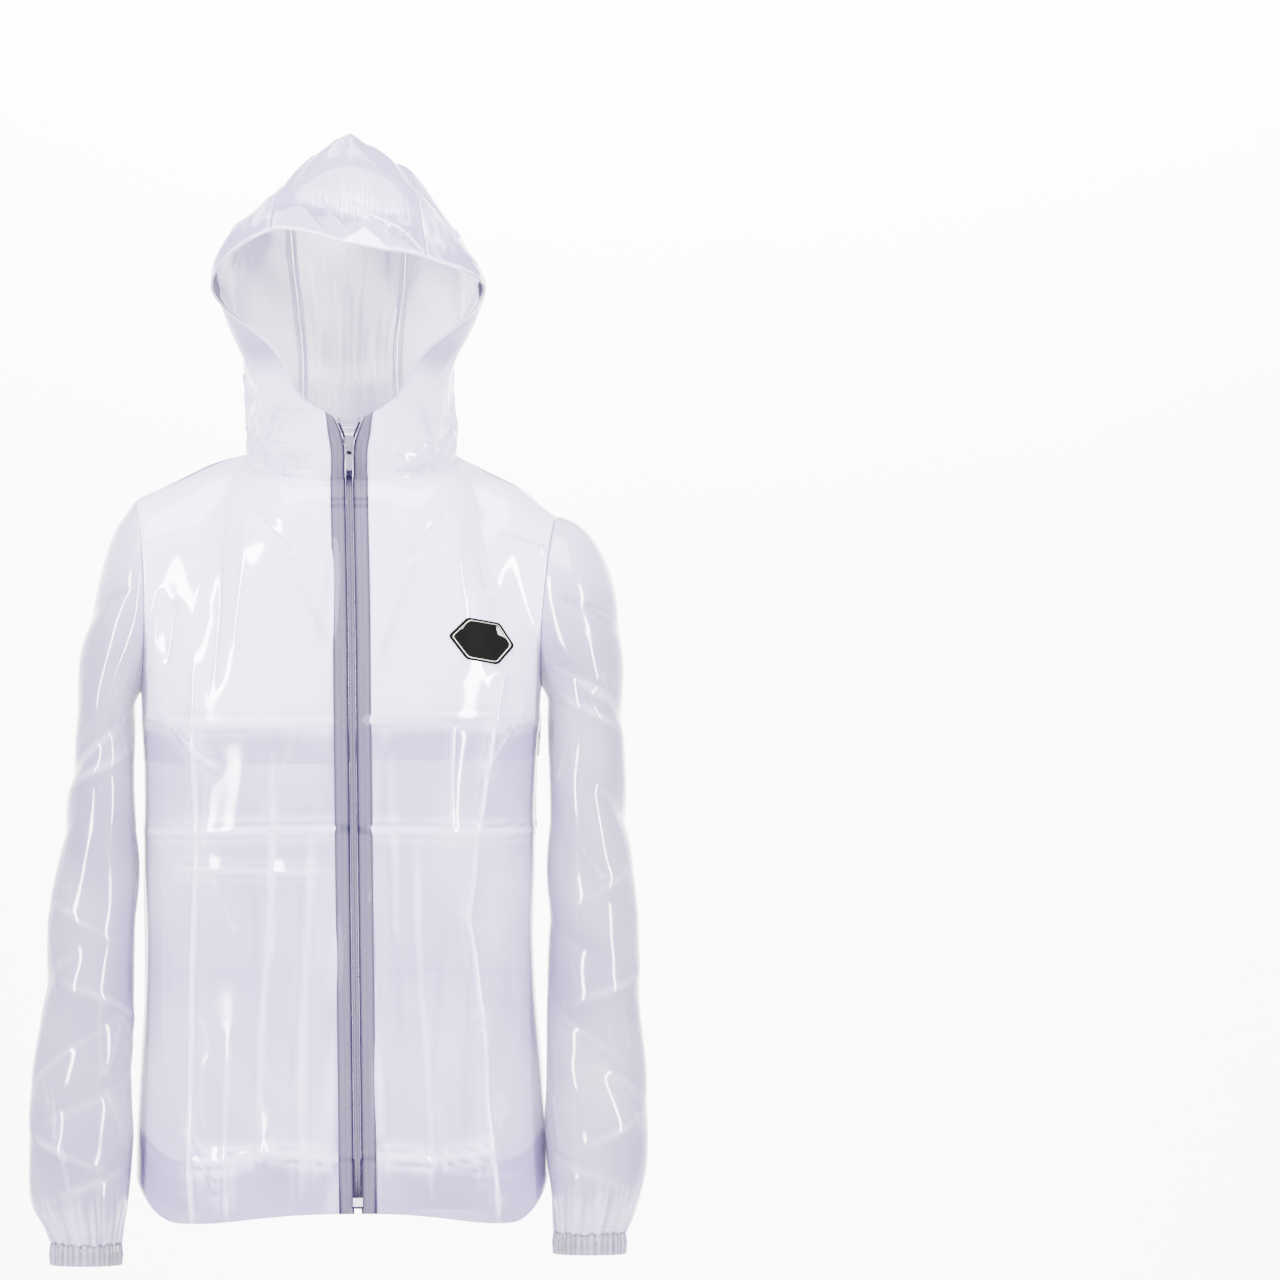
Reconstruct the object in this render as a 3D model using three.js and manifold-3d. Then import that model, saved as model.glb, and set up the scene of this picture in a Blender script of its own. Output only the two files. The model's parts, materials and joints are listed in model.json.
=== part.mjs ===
import * as THREE from 'three';
import { mergeVertices } from 'three/addons/utils/BufferGeometryUtils.js';
import Manifold from 'manifold-3d';

// A hooded raincoat of clear soft film with a front zip, filled out as it is worn.
// Millimetres. +Z is up, the front faces -Y, and +X is the coat's own left side.
// The origin is inside the neck, level with the front end of the neck seam.

// Driving dimensions
const film = 1.2; // wall of every panel
const seamTrim = 0.22; // a panel stops this far short of the line of its seam
const neckSeamTrim = 0.4; // the hood's panels stop this far short of the neck seam
const layerGap = 0.3; // air between a panel and a layer that lies on it
const bandFilm = 1.0; // wall of the folded hems and of the zip tape
const armpitZ = { right: -190, left: -186 };
const shoulderTip = {
  right: new THREE.Vector3(-196, 4, -18),
  left: new THREE.Vector3(187, 4, -31),
};
const neckHalfWidth = 95;
const neckFront = 76;
const neckBack = 82;
const neckRise = 52; // the neck seam is this much higher at the back
const shoulderAngle = 97; // degrees round the neck seam, from the front, to the shoulder seam
const zipEdgeHalf = 6; // each front ends this far from the middle of the zip
const hemLow = -668;
const hemSideRise = 38; // the hem is this much higher at the side seams
const hemZipRise = 10; // and this much at the zip
const bodyPower = 0.77; // below 1 squares the body's sections
const sleevePower = 0.9;
const hemBandRows = 1; // the folded hem lies inside this many of the lowest spans of a panel

// Grid counts
const acrossCount = 12; // columns from the zip or the middle of the back to the side seam
const tapeColumn = 0.045; // the extra column of each front, as a share of the way across
const upperCount = 8; // rows from the shoulder seam to the armpit
const headRows = [0, 0.12, 0.3, 0.52, 0.76]; // rows from the armhole to the first ring of a sleeve
const sleeveRings = 14; // spans from that ring to the cuff

// Sections of the body, a row for each height
const bodySections = [
  { z: -186, right: 190, left: 173, front: 116, back: 112 },
  { z: -300, right: 188, left: 167, front: 118, back: 104 },
  { z: -400, right: 186, left: 166, front: 117, back: 100 },
  { z: -500, right: 189, left: 170, front: 119, back: 106 },
  { z: -600, right: 194, left: 178, front: 122, back: 114 },
  { z: -680, right: 198, left: 182, front: 126, back: 120 },
];

// Sections of the sleeves below the armpit, a row for each height
const sleeveSections = {
  right: [
    { z: -206, x: -222, y: -4, half: 26, depth: 76 },
    { z: -260, x: -224, y: -8, half: 30, depth: 71 },
    { z: -342, x: -229, y: -16, half: 36.5, depth: 67 },
    { z: -468, x: -238, y: -28, half: 42.5, depth: 63 },
    { z: -558, x: -243, y: -38, half: 46, depth: 61 },
    { z: -620, x: -244, y: -44, half: 46, depth: 58 },
    { z: -652, x: -243.5, y: -48, half: 44, depth: 52 },
    { z: -674, x: -240, y: -50, half: 36, depth: 42 },
    { z: -688, x: -238.5, y: -51, half: 32, depth: 35 },
  ],
  left: [
    { z: -202, x: 213, y: -4, half: 34, depth: 76 },
    { z: -260, x: 214, y: -8, half: 36.5, depth: 71 },
    { z: -342, x: 217, y: -16, half: 38.5, depth: 67 },
    { z: -468, x: 220, y: -28, half: 43.5, depth: 63 },
    { z: -558, x: 222, y: -38, half: 46, depth: 61 },
    { z: -612, x: 222.5, y: -43, half: 45, depth: 58 },
    { z: -642, x: 221, y: -46, half: 41, depth: 51 },
    { z: -664, x: 218, y: -48, half: 36.5, depth: 42 },
    { z: -679, x: 215.5, y: -49, half: 32.5, depth: 35 },
  ],
};
const capReach = { right: 18, left: 50 }; // how far the sleeve head first runs out sideways
const capDrop = { right: 22, left: 10 }; // and how far it drops meanwhile
const cuffHeight = 19;
const cuffGathers = 18;
const cuffGatherHeight = 1.5;
const cuffRows = [{ share: 0, gathered: 0.4 }, { share: 1, gathered: 1 }];

// Arches of the hood from the face opening to the neck, a row for each.
// Each arch is given on its left half, from the top to the zip, and mirrored.
const hoodArches = [
  {
    name: 'rim', top: [0, -114, 211], crown: [70, -108, 210], temple: [122, -84, 172],
    cheek: [68, -96, 116], throat: [44, -98, 74], zip: [18, -86, 58],
  },
  {
    name: 'casing', top: [0, -88, 241], crown: [66, -84, 238], temple: [119, -52, 186],
    cheek: [92, -62, 108], throat: [56, -82, 56], zip: [12, -84, 46],
  },
  {
    name: 'brow', top: [0, -45, 286], crown: [60, -45, 264], temple: [109, -14, 188],
    cheek: [93, -30, 94], throat: [68, -68, 40], zip: [7.4, -83.4, 34],
  },
  {
    name: 'apex', top: [0, 8, 308], crown: [56, 12, 276], temple: [101, 26, 188],
    cheek: [92, 4, 84], throat: [73, -58, 29], zip: [6, -83, 23],
  },
  {
    name: 'back', top: [0, 90, 254], crown: [54, 80, 238], temple: [90, 62, 162],
    cheek: [93, 26, 72], throat: [74, -52, 20], zip: [6, -82, 13],
  },
  {
    name: 'nape', top: [0, 106, 128], crown: [44, 98, 122], temple: [84, 58, 94],
    cheek: [95, 16, 50], throat: [70, -52, 13], zip: [6, -79.5, 6],
  },
];
const hoodStations = ['top', 'crown', 'temple', 'cheek', 'throat', 'zip'];
const hoodNeckAngles = [180, 152, 122, 88, 44, 3.6]; // where each station meets the neck seam
const hoodLean = 5; // the hood's right side stands this much further out than its left
const hoodTilt = 12; // the rim is this much higher on the right of the brow than on the left
const hoodRows = 17;
const hoodCentreColumns = 18;
const hoodSideColumns = 10;
const hoodHemRows = 3; // rows of the hood that its folded hem lies inside

// Long soft folds of the body, a row for each, from one end to the other
const bodyFolds = [
  { face: -1, x0: -142, z0: -165, x1: -142, z1: -672, height: 4.5, width: 10 },
  { face: -1, x0: 136, z0: -170, x1: 106, z1: -395, height: 4.5, width: 11 },
  { face: -1, x0: 106, z0: -395, x1: 130, z1: -668, height: 4.5, width: 11 },
  { face: -1, x0: -115, z0: -28, x1: -124, z1: -190, height: -4, width: 12 },
  { face: -1, x0: 112, z0: -26, x1: 120, z1: -96, height: -4, width: 12 },
  { face: -1, x0: -70, z0: -300, x1: -78, z1: -600, height: -3, width: 18 },
  { face: -1, x0: 62, z0: -330, x1: 70, z1: -620, height: -3, width: 18 },
  { face: 1, x0: 110, z0: -60, x1: 116, z1: -640, height: 4, width: 11 },
  { face: 1, x0: -134, z0: -60, x1: -132, z1: -640, height: 4, width: 11 },
  { face: 1, x0: 0, z0: -280, x1: -4, z1: -640, height: -4, width: 16 },
  { face: 1, x0: 60, z0: -60, x1: 72, z1: -220, height: -3.5, width: 12 },
  { face: 1, x0: -66, z0: -70, x1: -60, z1: -220, height: -3.5, width: 12 },
];

// Soft troughs across the sleeves, a row for each: height, angle round, depth and reach
const sleeveFolds = [
  { side: 'right', z: -112, turn: 30, depth: 4, tall: 14, wide: 50 },
  { side: 'right', z: -245, turn: 60, depth: 6, tall: 13, wide: 70 },
  { side: 'right', z: -330, turn: 330, depth: 5, tall: 16, wide: 60 },
  { side: 'right', z: -440, turn: 40, depth: 5, tall: 18, wide: 55 },
  { side: 'right', z: -560, turn: 100, depth: 5, tall: 14, wide: 60 },
  { side: 'left', z: -122, turn: 35, depth: 4, tall: 14, wide: 50 },
  { side: 'left', z: -192, turn: 70, depth: 5, tall: 13, wide: 60 },
  { side: 'left', z: -300, turn: 20, depth: 6, tall: 15, wide: 60 },
  { side: 'left', z: -420, turn: 120, depth: 5, tall: 18, wide: 55 },
  { side: 'left', z: -540, turn: 60, depth: 5, tall: 14, wide: 60 },
];

// Drops of the rows below the armpit, as shares of the way to the hem
const dropsAll = [0.04, 0.082, 0.16, 0.25, 0.35, 0.45, 0.55, 0.65, 0.74, 0.82, 0.905, 1];
const flapDrops = [
  { drop: 0.04, lift: 0 },
  { drop: 0.072, lift: 1.6 },
  { drop: 0.104, lift: 1.7 },
  { drop: 0.142, lift: 1.8 },
];
const backLowerStart = 0.082; // the lower back starts here, under the free edge of the yoke

// Zip. Lifts are measured out from the outer face of the front panels.
const zipDriftFrom = 40; // from this height down, the zip's middle drifts across
const zipDriftTop = -1.8; // the middle of the zip lies here at the neck
const zipDriftLow = 6.5; // and here at the hem
const zipBottom = -650;
const tapeLift = 0.5;
const tapeInside = 2.8; // the tape runs this far past the front's edge towards the coil
const tapeOutside = 11; // and lies this far out over the front
const tapeOutsideTop = 5;
const flareSpread = 12; // the fronts' edges stand this much further apart at the top of the zip
const coil = { gap: 0.35, wide: 2.3, deep: 2.4, lift: 2.7, from: 51, to: -643 };
const slider = { z: 32, wide: 8.6, tall: 14, plate: 1.4, frontLift: 3.3, backLift: -0.25 };
const bail = { long: 9.2, high: 3.6, bar: 1.2, wide: 2.2 };
const tab = { long: 23, wide: 8.6, thick: 1.5, eye: 7.4, eyeWide: 4.6, pivotUp: 1.2, pivotDrop: 2 };
const stop = { wide: 3.4, tall: 4, deep: 3 };
const box = { wide: 8.8, tall: 7.5, deep: 2.6, lift: 1.9 };

// Small pieces that lie on a panel, placed by their middles in the front or back view
const badge = {
  thick: 1,
  corners: [[87, -141], [104, -124.5], [133, -129.5], [146.5, -150], [131.5, -167], [103, -162]],
};
const neckDot = { x: -2.7, z: 40, radius: 4.8, thick: 1 };
const flapSnap = { x: 1.8, z: -247, radius: 5.6, thick: 1.6 };
const discSides = 16;
const patchRings = 3;
const patchLift = 0.6;

const plasticFilm = { color: 0xe9e7f2, roughness: 0.22, metalness: 0 };
const hemFilm = { color: 0xdedbe9, roughness: 0.24, metalness: 0 };
const tapeFilm = { color: 0xaaa4ba, roughness: 0.35, metalness: 0 };
const coilPlastic = { color: 0x4a3f63, roughness: 0.4, metalness: 0 };
const elasticFilm = { color: 0xcfc3c9, roughness: 0.5, metalness: 0 };
const zinc = { color: 0xa8a5b4, roughness: 0.3, metalness: 0.9 };
const badgeRubber = { color: 0x2e2d28, roughness: 0.35, metalness: 0 };
const snapPlastic = { color: 0xd9d6e2, roughness: 0.3, metalness: 0 };
const dotInk = { color: 0x4b3b6b, roughness: 0.4, metalness: 0 };

const coat = new THREE.Group();

// Numbers and curves
const radians = (degrees) => (degrees * Math.PI) / 180;
const mix = (a, b, t) => a + (b - a) * t;
const ease = (t) => {
  const k = Math.min(Math.max(t, 0), 1);
  return k * k * (3 - 2 * k);
};
const bell = (distance, width) => Math.exp(-((distance / width) ** 2));
const sideName = (side) => (side > 0 ? 'left' : 'right');

// The value at a place on a smooth curve through a table's rows
function curveAt(places, values, place) {
  const last = places.length - 1;
  const down = places[last] < places[0];
  const at = down ? Math.min(Math.max(place, places[last]), places[0])
    : Math.min(Math.max(place, places[0]), places[last]);
  let k = 0;
  while (k < last - 1 && (down ? at < places[k + 1] : at > places[k + 1])) k += 1;
  const slope = (i) => {
    const a = Math.max(i - 1, 0);
    const b = Math.min(i + 1, last);
    return (values[b] - values[a]) / (places[b] - places[a]);
  };
  const step = places[k + 1] - places[k];
  const t = (at - places[k]) / step;
  const start = values[k] * (1 + 2 * t) * (1 - t) ** 2 + slope(k) * step * t * (1 - t) ** 2;
  const end = values[k + 1] * t * t * (3 - 2 * t) + slope(k + 1) * step * t * t * (t - 1);
  return start + end;
}

function columnAt(rows, column, z) {
  return curveAt(rows.map((row) => row.z), rows.map((row) => row[column]), z);
}

function bezier(a, b, c, d, t) {
  const s = 1 - t;
  return new THREE.Vector3()
    .addScaledVector(a, s * s * s)
    .addScaledVector(b, 3 * s * s * t)
    .addScaledVector(c, 3 * s * t * t)
    .addScaledVector(d, t * t * t);
}

const spread = (count) => Array.from({ length: count + 1 }, (_, i) => i / count);

// A soft ridge or trough along a straight line, faded out at both ends
function lineFold(fold, x, z) {
  const run = new THREE.Vector2(fold.x1 - fold.x0, fold.z1 - fold.z0);
  const from = new THREE.Vector2(x - fold.x0, z - fold.z0);
  const along = from.dot(run) / run.lengthSq();
  const off = Math.abs(from.cross(run)) / run.length();
  return fold.height * bell(off, fold.width) * ease(along * 6 + 0.5) * ease((1 - along) * 6 + 0.5);
}

// Body: a ring below the armpit, and curves up to the neck and shoulder seams
function zipDrift(z) {
  return mix(zipDriftTop, zipDriftLow, (zipDriftFrom - z) / (zipDriftFrom - hemLow));
}

function ringPoint(side, face, across, z) {
  const turn = (across * Math.PI) / 2;
  const half = columnAt(bodySections, sideName(side), z);
  const depth = columnAt(bodySections, face < 0 ? 'front' : 'back', z);
  const edge = face < 0 ? zipEdgeHalf : 0;
  const x = side * (edge + (half - edge) * Math.sin(turn) ** bodyPower);
  const drift = face < 0 ? zipDrift(z) * (1 - across) ** 2 : 0;
  return new THREE.Vector3(x + drift, face * depth * Math.max(Math.cos(turn), 0) ** bodyPower, z);
}

function neckPoint(side, degrees) {
  const turn = radians(degrees);
  const depth = degrees < 90 ? neckFront : neckBack;
  const drift = degrees < 90 ? zipDriftTop * Math.cos(turn) : 0;
  const rise = neckRise * ((1 - Math.cos(turn)) / 2) ** 1.3;
  return new THREE.Vector3(side * neckHalfWidth * Math.sin(turn) + drift, -depth * Math.cos(turn), rise);
}

const zipAngle = Math.asin(zipEdgeHalf / neckHalfWidth) * (180 / Math.PI);

function topPoint(side, face, across) {
  const start = face < 0 ? zipAngle : 180;
  if (across <= 0.5) return neckPoint(side, mix(start, shoulderAngle, across * 2));
  const along = across * 2 - 1;
  const seam = neckPoint(side, shoulderAngle).lerp(shoulderTip[sideName(side)], along);
  seam.z += 4 * Math.sin(Math.PI * along);
  return seam;
}

// Up from the armpit line (rise 0) to the neck or shoulder seam (rise 1)
function upperPoint(side, face, across, rise) {
  const start = ringPoint(side, face, across, armpitZ[sideName(side)]);
  const end = topPoint(side, face, across);
  const toArm = Math.max((across - 0.5) * 2, 0);
  const out = face * 88 * toArm ** 2.2;
  const lift = 74 - 48 * toArm ** 2;
  const low = start.clone().add(new THREE.Vector3(-side * 8 * toArm, out, lift));
  const fall = curveAt([0, 0.5, 1], face < 0 ? [26, 60, 80] : [34, 58, 82], across);
  const drop = curveAt([0, 0.5, 1], face < 0 ? [30, 20, 14] : [46, 24, 14], across);
  const wide = curveAt([0, 0.5, 1], [0, 20, -8], across);
  const high = end.clone().add(new THREE.Vector3(side * wide, face * fall, -drop));
  return bezier(start, low, high, end, rise);
}

function hemHeight(face, across) {
  const side = hemSideRise * ease((across - 0.5) / 0.5);
  const zip = face < 0 ? hemZipRise * (1 - ease(across / 0.45)) : 0;
  return hemLow + side + zip;
}

function lowerPoint(side, face, across, drop) {
  return ringPoint(side, face, across, mix(armpitZ[sideName(side)], hemHeight(face, across), drop));
}

// Sheets: a grid of points with a normal at each
function gridNormals(points, wraps, heart) {
  const rows = points.length;
  const columns = points[0].length;
  const around = (j) => (wraps ? (j + columns) % columns : Math.min(Math.max(j, 0), columns - 1));
  const normals = points.map((row, i) => row.map((point, j) => {
    const down = points[Math.min(i + 1, rows - 1)][j].clone().sub(points[Math.max(i - 1, 0)][j]);
    const across = row[around(j + 1)].clone().sub(row[around(j - 1)]);
    return down.cross(across).normalize();
  }));
  let outward = 0;
  points.forEach((row, i) => row.forEach((point, j) => {
    outward += Math.sign(normals[i][j].dot(point.clone().sub(heart(point))));
  }));
  if (outward < 0) normals.flat().forEach((normal) => normal.negate());
  return normals;
}

function makeSheet(points, heart, wraps = false) {
  return { points, normals: gridNormals(points, wraps, heart), wraps };
}

function pushOut(sheet, amount) {
  const points = sheet.points.map((row, i) => row.map((point, j) => {
    const by = typeof amount === 'function' ? amount(point, i, j) : amount;
    return point.clone().addScaledVector(sheet.normals[i][j], by);
  }));
  return { ...sheet, points };
}

// Pulls the named edges of a sheet back along itself
function trimSheet(sheet, edges, by = seamTrim) {
  const points = sheet.points.map((row) => row.map((point) => point.clone()));
  const last = points.length - 1;
  const end = points[0].length - 1;
  const pull = (at, towards) => at.addScaledVector(towards.clone().sub(at).normalize(), by);
  if (edges.includes('top')) points[0].forEach((at, j) => pull(at, points[1][j]));
  if (edges.includes('bottom')) points[last].forEach((at, j) => pull(at, points[last - 1][j]));
  if (edges.includes('start')) points.forEach((row) => pull(row[0], row[1]));
  if (edges.includes('end')) points.forEach((row) => pull(row[end], row[end - 1]));
  return { ...sheet, points };
}

// Gives two points that meet at a seam one shared direction for their walls, mitred
function mitre(normal, other) {
  const shared = normal.clone().add(other).normalize();
  const stretch = 1 / Math.max(shared.dot(normal), 0.72);
  normal.copy(shared).multiplyScalar(stretch);
  other.copy(shared).multiplyScalar(stretch);
}

// A closed body between a sheet's outer points and the same points moved in.
// From the column mirrorFrom on, the faces are split along their other diagonal.
function wallGeometry(sheet, thick) {
  const { points, normals, wraps, mirrorFrom = Infinity } = sheet;
  const rows = points.length;
  const columns = points[0].length;
  const outer = points.flat();
  const moveIn = (point, normal) => point.clone().addScaledVector(normal, -thick);
  const inner = points.flatMap((row, i) => row.map((point, j) => moveIn(point, normals[i][j])));
  const offset = outer.length;
  const at = (i, j) => i * columns + (j % columns);
  const index = [];
  const quad = (a, b, c, d) => index.push(a, b, c, a, c, d);
  const cell = (j, a, b, c, d) => (j < mirrorFrom ? quad(a, b, c, d) : quad(b, c, d, a));
  const spans = wraps ? columns : columns - 1;
  for (let i = 0; i < rows - 1; i += 1) {
    for (let j = 0; j < spans; j += 1) {
      const corners = [at(i, j), at(i + 1, j), at(i + 1, j + 1), at(i, j + 1)];
      const start = index.length;
      cell(j, ...corners);
      for (let k = start; k < start + 6; k += 3) {
        index.push(index[k] + offset, index[k + 2] + offset, index[k + 1] + offset);
      }
    }
  }
  for (let j = 0; j < spans; j += 1) {
    const low = rows - 1;
    quad(at(0, j), at(0, j + 1), at(0, j + 1) + offset, at(0, j) + offset);
    quad(at(low, j), at(low, j) + offset, at(low, j + 1) + offset, at(low, j + 1));
  }
  for (let i = 0; i < rows - 1 && !wraps; i += 1) {
    const end = columns - 1;
    quad(at(i, 0), at(i, 0) + offset, at(i + 1, 0) + offset, at(i + 1, 0));
    quad(at(i, end), at(i + 1, end), at(i + 1, end) + offset, at(i, end) + offset);
  }
  return closedGeometry([...outer, ...inner], index);
}

// Turns the faces outward, whichever way the grid runs
function closedGeometry(points, index) {
  let volume = 0;
  for (let k = 0; k < index.length; k += 3) {
    const [a, b, c] = index.slice(k, k + 3).map((n) => points[n]);
    volume += a.dot(b.clone().cross(c));
  }
  if (volume < 0) index.reverse();
  const geometry = new THREE.BufferGeometry();
  const places = points.flatMap((point) => [point.x, point.y, point.z]);
  geometry.setAttribute('position', new THREE.Float32BufferAttribute(places, 3));
  geometry.setIndex(index);
  return geometry;
}

function add(name, geometry, material, group = coat) {
  const mesh = new THREE.Mesh(geometry, new THREE.MeshStandardMaterial(material));
  mesh.name = name;
  group.add(mesh);
}

function addWall(name, sheet, material, thick = film) {
  add(name, wallGeometry(sheet, thick), material);
}

const bodyHeart = (point) => new THREE.Vector3(0, 0, Math.min(point.z, -70));

function foldBody(sheet, face) {
  const folds = bodyFolds.filter((fold) => fold.face === face);
  return pushOut(sheet, (point) => folds.reduce((sum, fold) => sum + lineFold(fold, point.x, point.z), 0));
}

// A quarter of the body as rows of points from the seams at the top down.
// A front has one more column, close to the zip, for the tape to lie on.
function quarterRows(side, face, drops) {
  const even = spread(acrossCount);
  const columns = face < 0 ? [0, tapeColumn, ...even.slice(1)] : even;
  const upperRow = (share) => columns.map((across) => upperPoint(side, face, across, 1 - share));
  const upper = spread(upperCount).map(upperRow);
  const lower = drops.map((drop) => columns.map((across) => lowerPoint(side, face, across, drop)));
  return { upper, lower };
}

function frontSheet(side) {
  const { upper, lower } = quarterRows(side, -1, dropsAll);
  return foldBody(makeSheet([...upper, ...lower], bodyHeart), -1);
}

// Joins the two back quarters at the middle, from the left side seam to the right one
function backRows(drops) {
  const left = quarterRows(1, 1, drops);
  const right = quarterRows(-1, 1, drops);
  const join = (a, b) => a.map((row, i) => [...row.slice().reverse(), ...b[i].slice(1)]);
  return { upper: join(left.upper, right.upper), lower: join(left.lower, right.lower) };
}

function backYokeSheet() {
  const { upper, lower } = backRows(flapDrops.map((row) => row.drop));
  const sheet = foldBody(makeSheet([...upper, ...lower], bodyHeart), 1);
  return pushOut(sheet, (point, i) => (i > upperCount ? flapDrops[i - upperCount - 1].lift : 0));
}

function backLowerSheet() {
  const { lower } = backRows(dropsAll.filter((drop) => drop >= backLowerStart));
  return foldBody(makeSheet(lower, bodyHeart), 1);
}

// Part of a sheet's rows and columns, with the same normals
function cutSheet(sheet, [firstRow, lastRow], [firstColumn, lastColumn]) {
  const part = (grid) => grid.slice(firstRow, lastRow + 1)
    .map((row) => row.slice(firstColumn, lastColumn + 1).map((item) => item.clone()));
  const mirrorFrom = (sheet.mirrorFrom ?? Infinity) - firstColumn;
  return { points: part(sheet.points), normals: part(sheet.normals), wraps: false, mirrorFrom };
}

// A folded hem lies inside the lowest rows of its panel
function hemBand(panel) {
  const last = panel.points.length - 1;
  const rows = cutSheet(panel, [last - hemBandRows, last], [0, panel.points[0].length - 1]);
  return pushOut(rows, -(film + layerGap));
}

// Sleeves: from the armhole line to a ring below the armpit, then down to the cuff
function sleeveRing(side, turn, z) {
  const rows = sleeveSections[sideName(side)];
  const wave = (value) => Math.sign(value) * Math.abs(value) ** sleevePower;
  const x = columnAt(rows, 'x', z) + side * columnAt(rows, 'half', z) * wave(Math.cos(turn));
  const y = columnAt(rows, 'y', z) - columnAt(rows, 'depth', z) * wave(Math.sin(turn));
  return new THREE.Vector3(x, y, z);
}

// The armhole line, from the shoulder tip down the front to the armpit and up the back
function armholePoint(side, around) {
  const front = around <= 0.5;
  const rise = front ? 1 - around * 2 : around * 2 - 1;
  return upperPoint(side, front ? -1 : 1, 1, rise);
}

function sleeveHead(side, around, along) {
  const turn = around * Math.PI * 2;
  const rows = sleeveSections[sideName(side)];
  const start = armholePoint(side, around);
  const end = sleeveRing(side, turn, rows[0].z);
  const outer = ((1 + Math.cos(turn)) / 2) ** 1.5;
  const reach = mix(2, capReach[sideName(side)], outer);
  const drop = mix(5, capDrop[sideName(side)], outer);
  const low = start.clone().add(new THREE.Vector3(side * reach, -14 * Math.sin(turn), -drop));
  const high = end.clone().add(new THREE.Vector3(0, 0, mix(6, 70, Math.sqrt(outer))));
  return bezier(start, low, high, end, along);
}

function sleeveFold(side, turn, z) {
  const mine = sleeveFolds.filter((fold) => fold.side === sideName(side));
  return mine.reduce((sum, fold) => {
    const away = (((turn * 180) / Math.PI - fold.turn + 540) % 360) - 180;
    return sum - fold.depth * bell(z - fold.z - away * 0.35, fold.tall) * bell(away, fold.wide);
  }, 0);
}

function sleeveSheet(side) {
  const turns = spread(upperCount * 2).slice(0, -1);
  const rows = sleeveSections[sideName(side)];
  const top = rows[0].z;
  const end = rows[rows.length - 1].z;
  const headRow = (along) => turns.map((around) => sleeveHead(side, around, along));
  const head = headRows.map(headRow);
  const tube = spread(sleeveRings).map((share) => {
    const z = mix(top, end, share ** 0.92);
    return turns.map((around) => sleeveRing(side, around * Math.PI * 2, z));
  });
  const middle = (point) => {
    const z = Math.min(point.z, top);
    return new THREE.Vector3(columnAt(rows, 'x', z), columnAt(rows, 'y', z), Math.min(point.z, -110));
  };
  const sheet = makeSheet([...head, ...tube], middle, true);
  return pushOut(sheet, (point, i, j) => (i < 2 ? 0 : sleeveFold(side, turns[j] * Math.PI * 2, point.z)));
}

function cuffSheet(side) {
  const rows = sleeveSections[sideName(side)];
  const end = rows[rows.length - 1];
  const turns = spread(cuffGathers * 4).slice(0, -1);
  const points = cuffRows.map(({ share, gathered }) => turns.map((around) => {
    const turn = around * Math.PI * 2;
    const gather = 1 + (cuffGatherHeight / end.half) * Math.sin(turn * cuffGathers) * gathered;
    const point = sleeveRing(side, turn, end.z);
    const x = end.x + (point.x - end.x) * gather;
    const y = end.y + (point.y - end.y) * gather;
    return new THREE.Vector3(x, y, end.z - layerGap - cuffHeight * share);
  }));
  return makeSheet(points, () => new THREE.Vector3(end.x, end.y, end.z - cuffHeight / 2), true);
}

// Hood: arches from the face opening to the neck seam, each through six stations
function hoodStation(arch, station, side) {
  const [x, y, z] = arch[station];
  const lean = hoodLean * bell(z - 200, 120) * Math.min(x / 60, 1);
  const tilt = hoodTilt * bell(x - 66, 40) * bell(z - 212, 30);
  const drift = zipDriftTop * ({ zip: 1, throat: 0.6 }[station] ?? 0);
  return new THREE.Vector3(side * x - lean * 0.5 + drift, y, z - side * tilt);
}

// reach runs from -1 at the right end of the arch, over the top at 0, to 1 at the left end
function archPoint(number, reach) {
  const side = reach < 0 ? -1 : 1;
  const steps = hoodStations.length - 1;
  if (number === hoodArches.length) {
    const places = hoodStations.map((_, k) => k / steps);
    return neckPoint(side, curveAt(places, hoodNeckAngles, Math.abs(reach)));
  }
  const arch = hoodArches[number];
  const names = [...hoodStations.slice(1).reverse(), ...hoodStations];
  const places = names.map((_, k) => (k - steps) / steps);
  const points = names.map((name, k) => hoodStation(arch, name, k < steps ? -1 : 1));
  const value = (axis) => curveAt(places, points.map((point) => point[axis]), reach);
  return new THREE.Vector3(value('x'), value('y'), value('z'));
}

function hoodPoint(reach, back) {
  const count = hoodArches.length;
  const places = spread(count);
  const points = places.map((_, k) => archPoint(k, reach));
  const value = (axis) => curveAt(places, points.map((point) => point[axis]), back);
  return new THREE.Vector3(value('x'), value('y'), value('z'));
}

// Small gathers where the casing's cord and the nape draw the film up
function hoodGather(reach, back) {
  const brow = bell(back - 0.2, 0.055) * bell(reach, 0.15);
  const nape = bell(back - 0.84, 0.06) * bell(reach, 0.17);
  const wave = Math.cos(reach * Math.PI * (hoodCentreColumns / (crownReach * 2)));
  return 2.1 * wave * (brow + nape) - 5 * brow - 6 * nape;
}

function hoodFold(reach, back) {
  const diagonal = bell(reach * 1.6 + back - 0.78, 0.06) * bell(reach - 0.12, 0.3);
  const other = bell(reach * -1.3 + back - 0.7, 0.06) * bell(reach + 0.25, 0.25);
  const cheek = bell(Math.abs(reach) - 0.62, 0.07) * bell(back - 0.3, 0.3);
  return 4 * diagonal - 3.5 * other - 4 * cheek;
}

const hoodHeart = (point) => new THREE.Vector3(0, 0, Math.min(Math.max(point.z, 20), 180));

// The whole hood in one grid, so that its three panels share their seams' points
const crownReach = 0.2;
const hoodReaches = [
  ...spread(hoodSideColumns).map((share) => mix(-1, -crownReach, share)),
  ...spread(hoodCentreColumns).slice(1, -1).map((share) => mix(-crownReach, crownReach, share)),
  ...spread(hoodSideColumns).map((share) => mix(crownReach, 1, share)),
];

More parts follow.
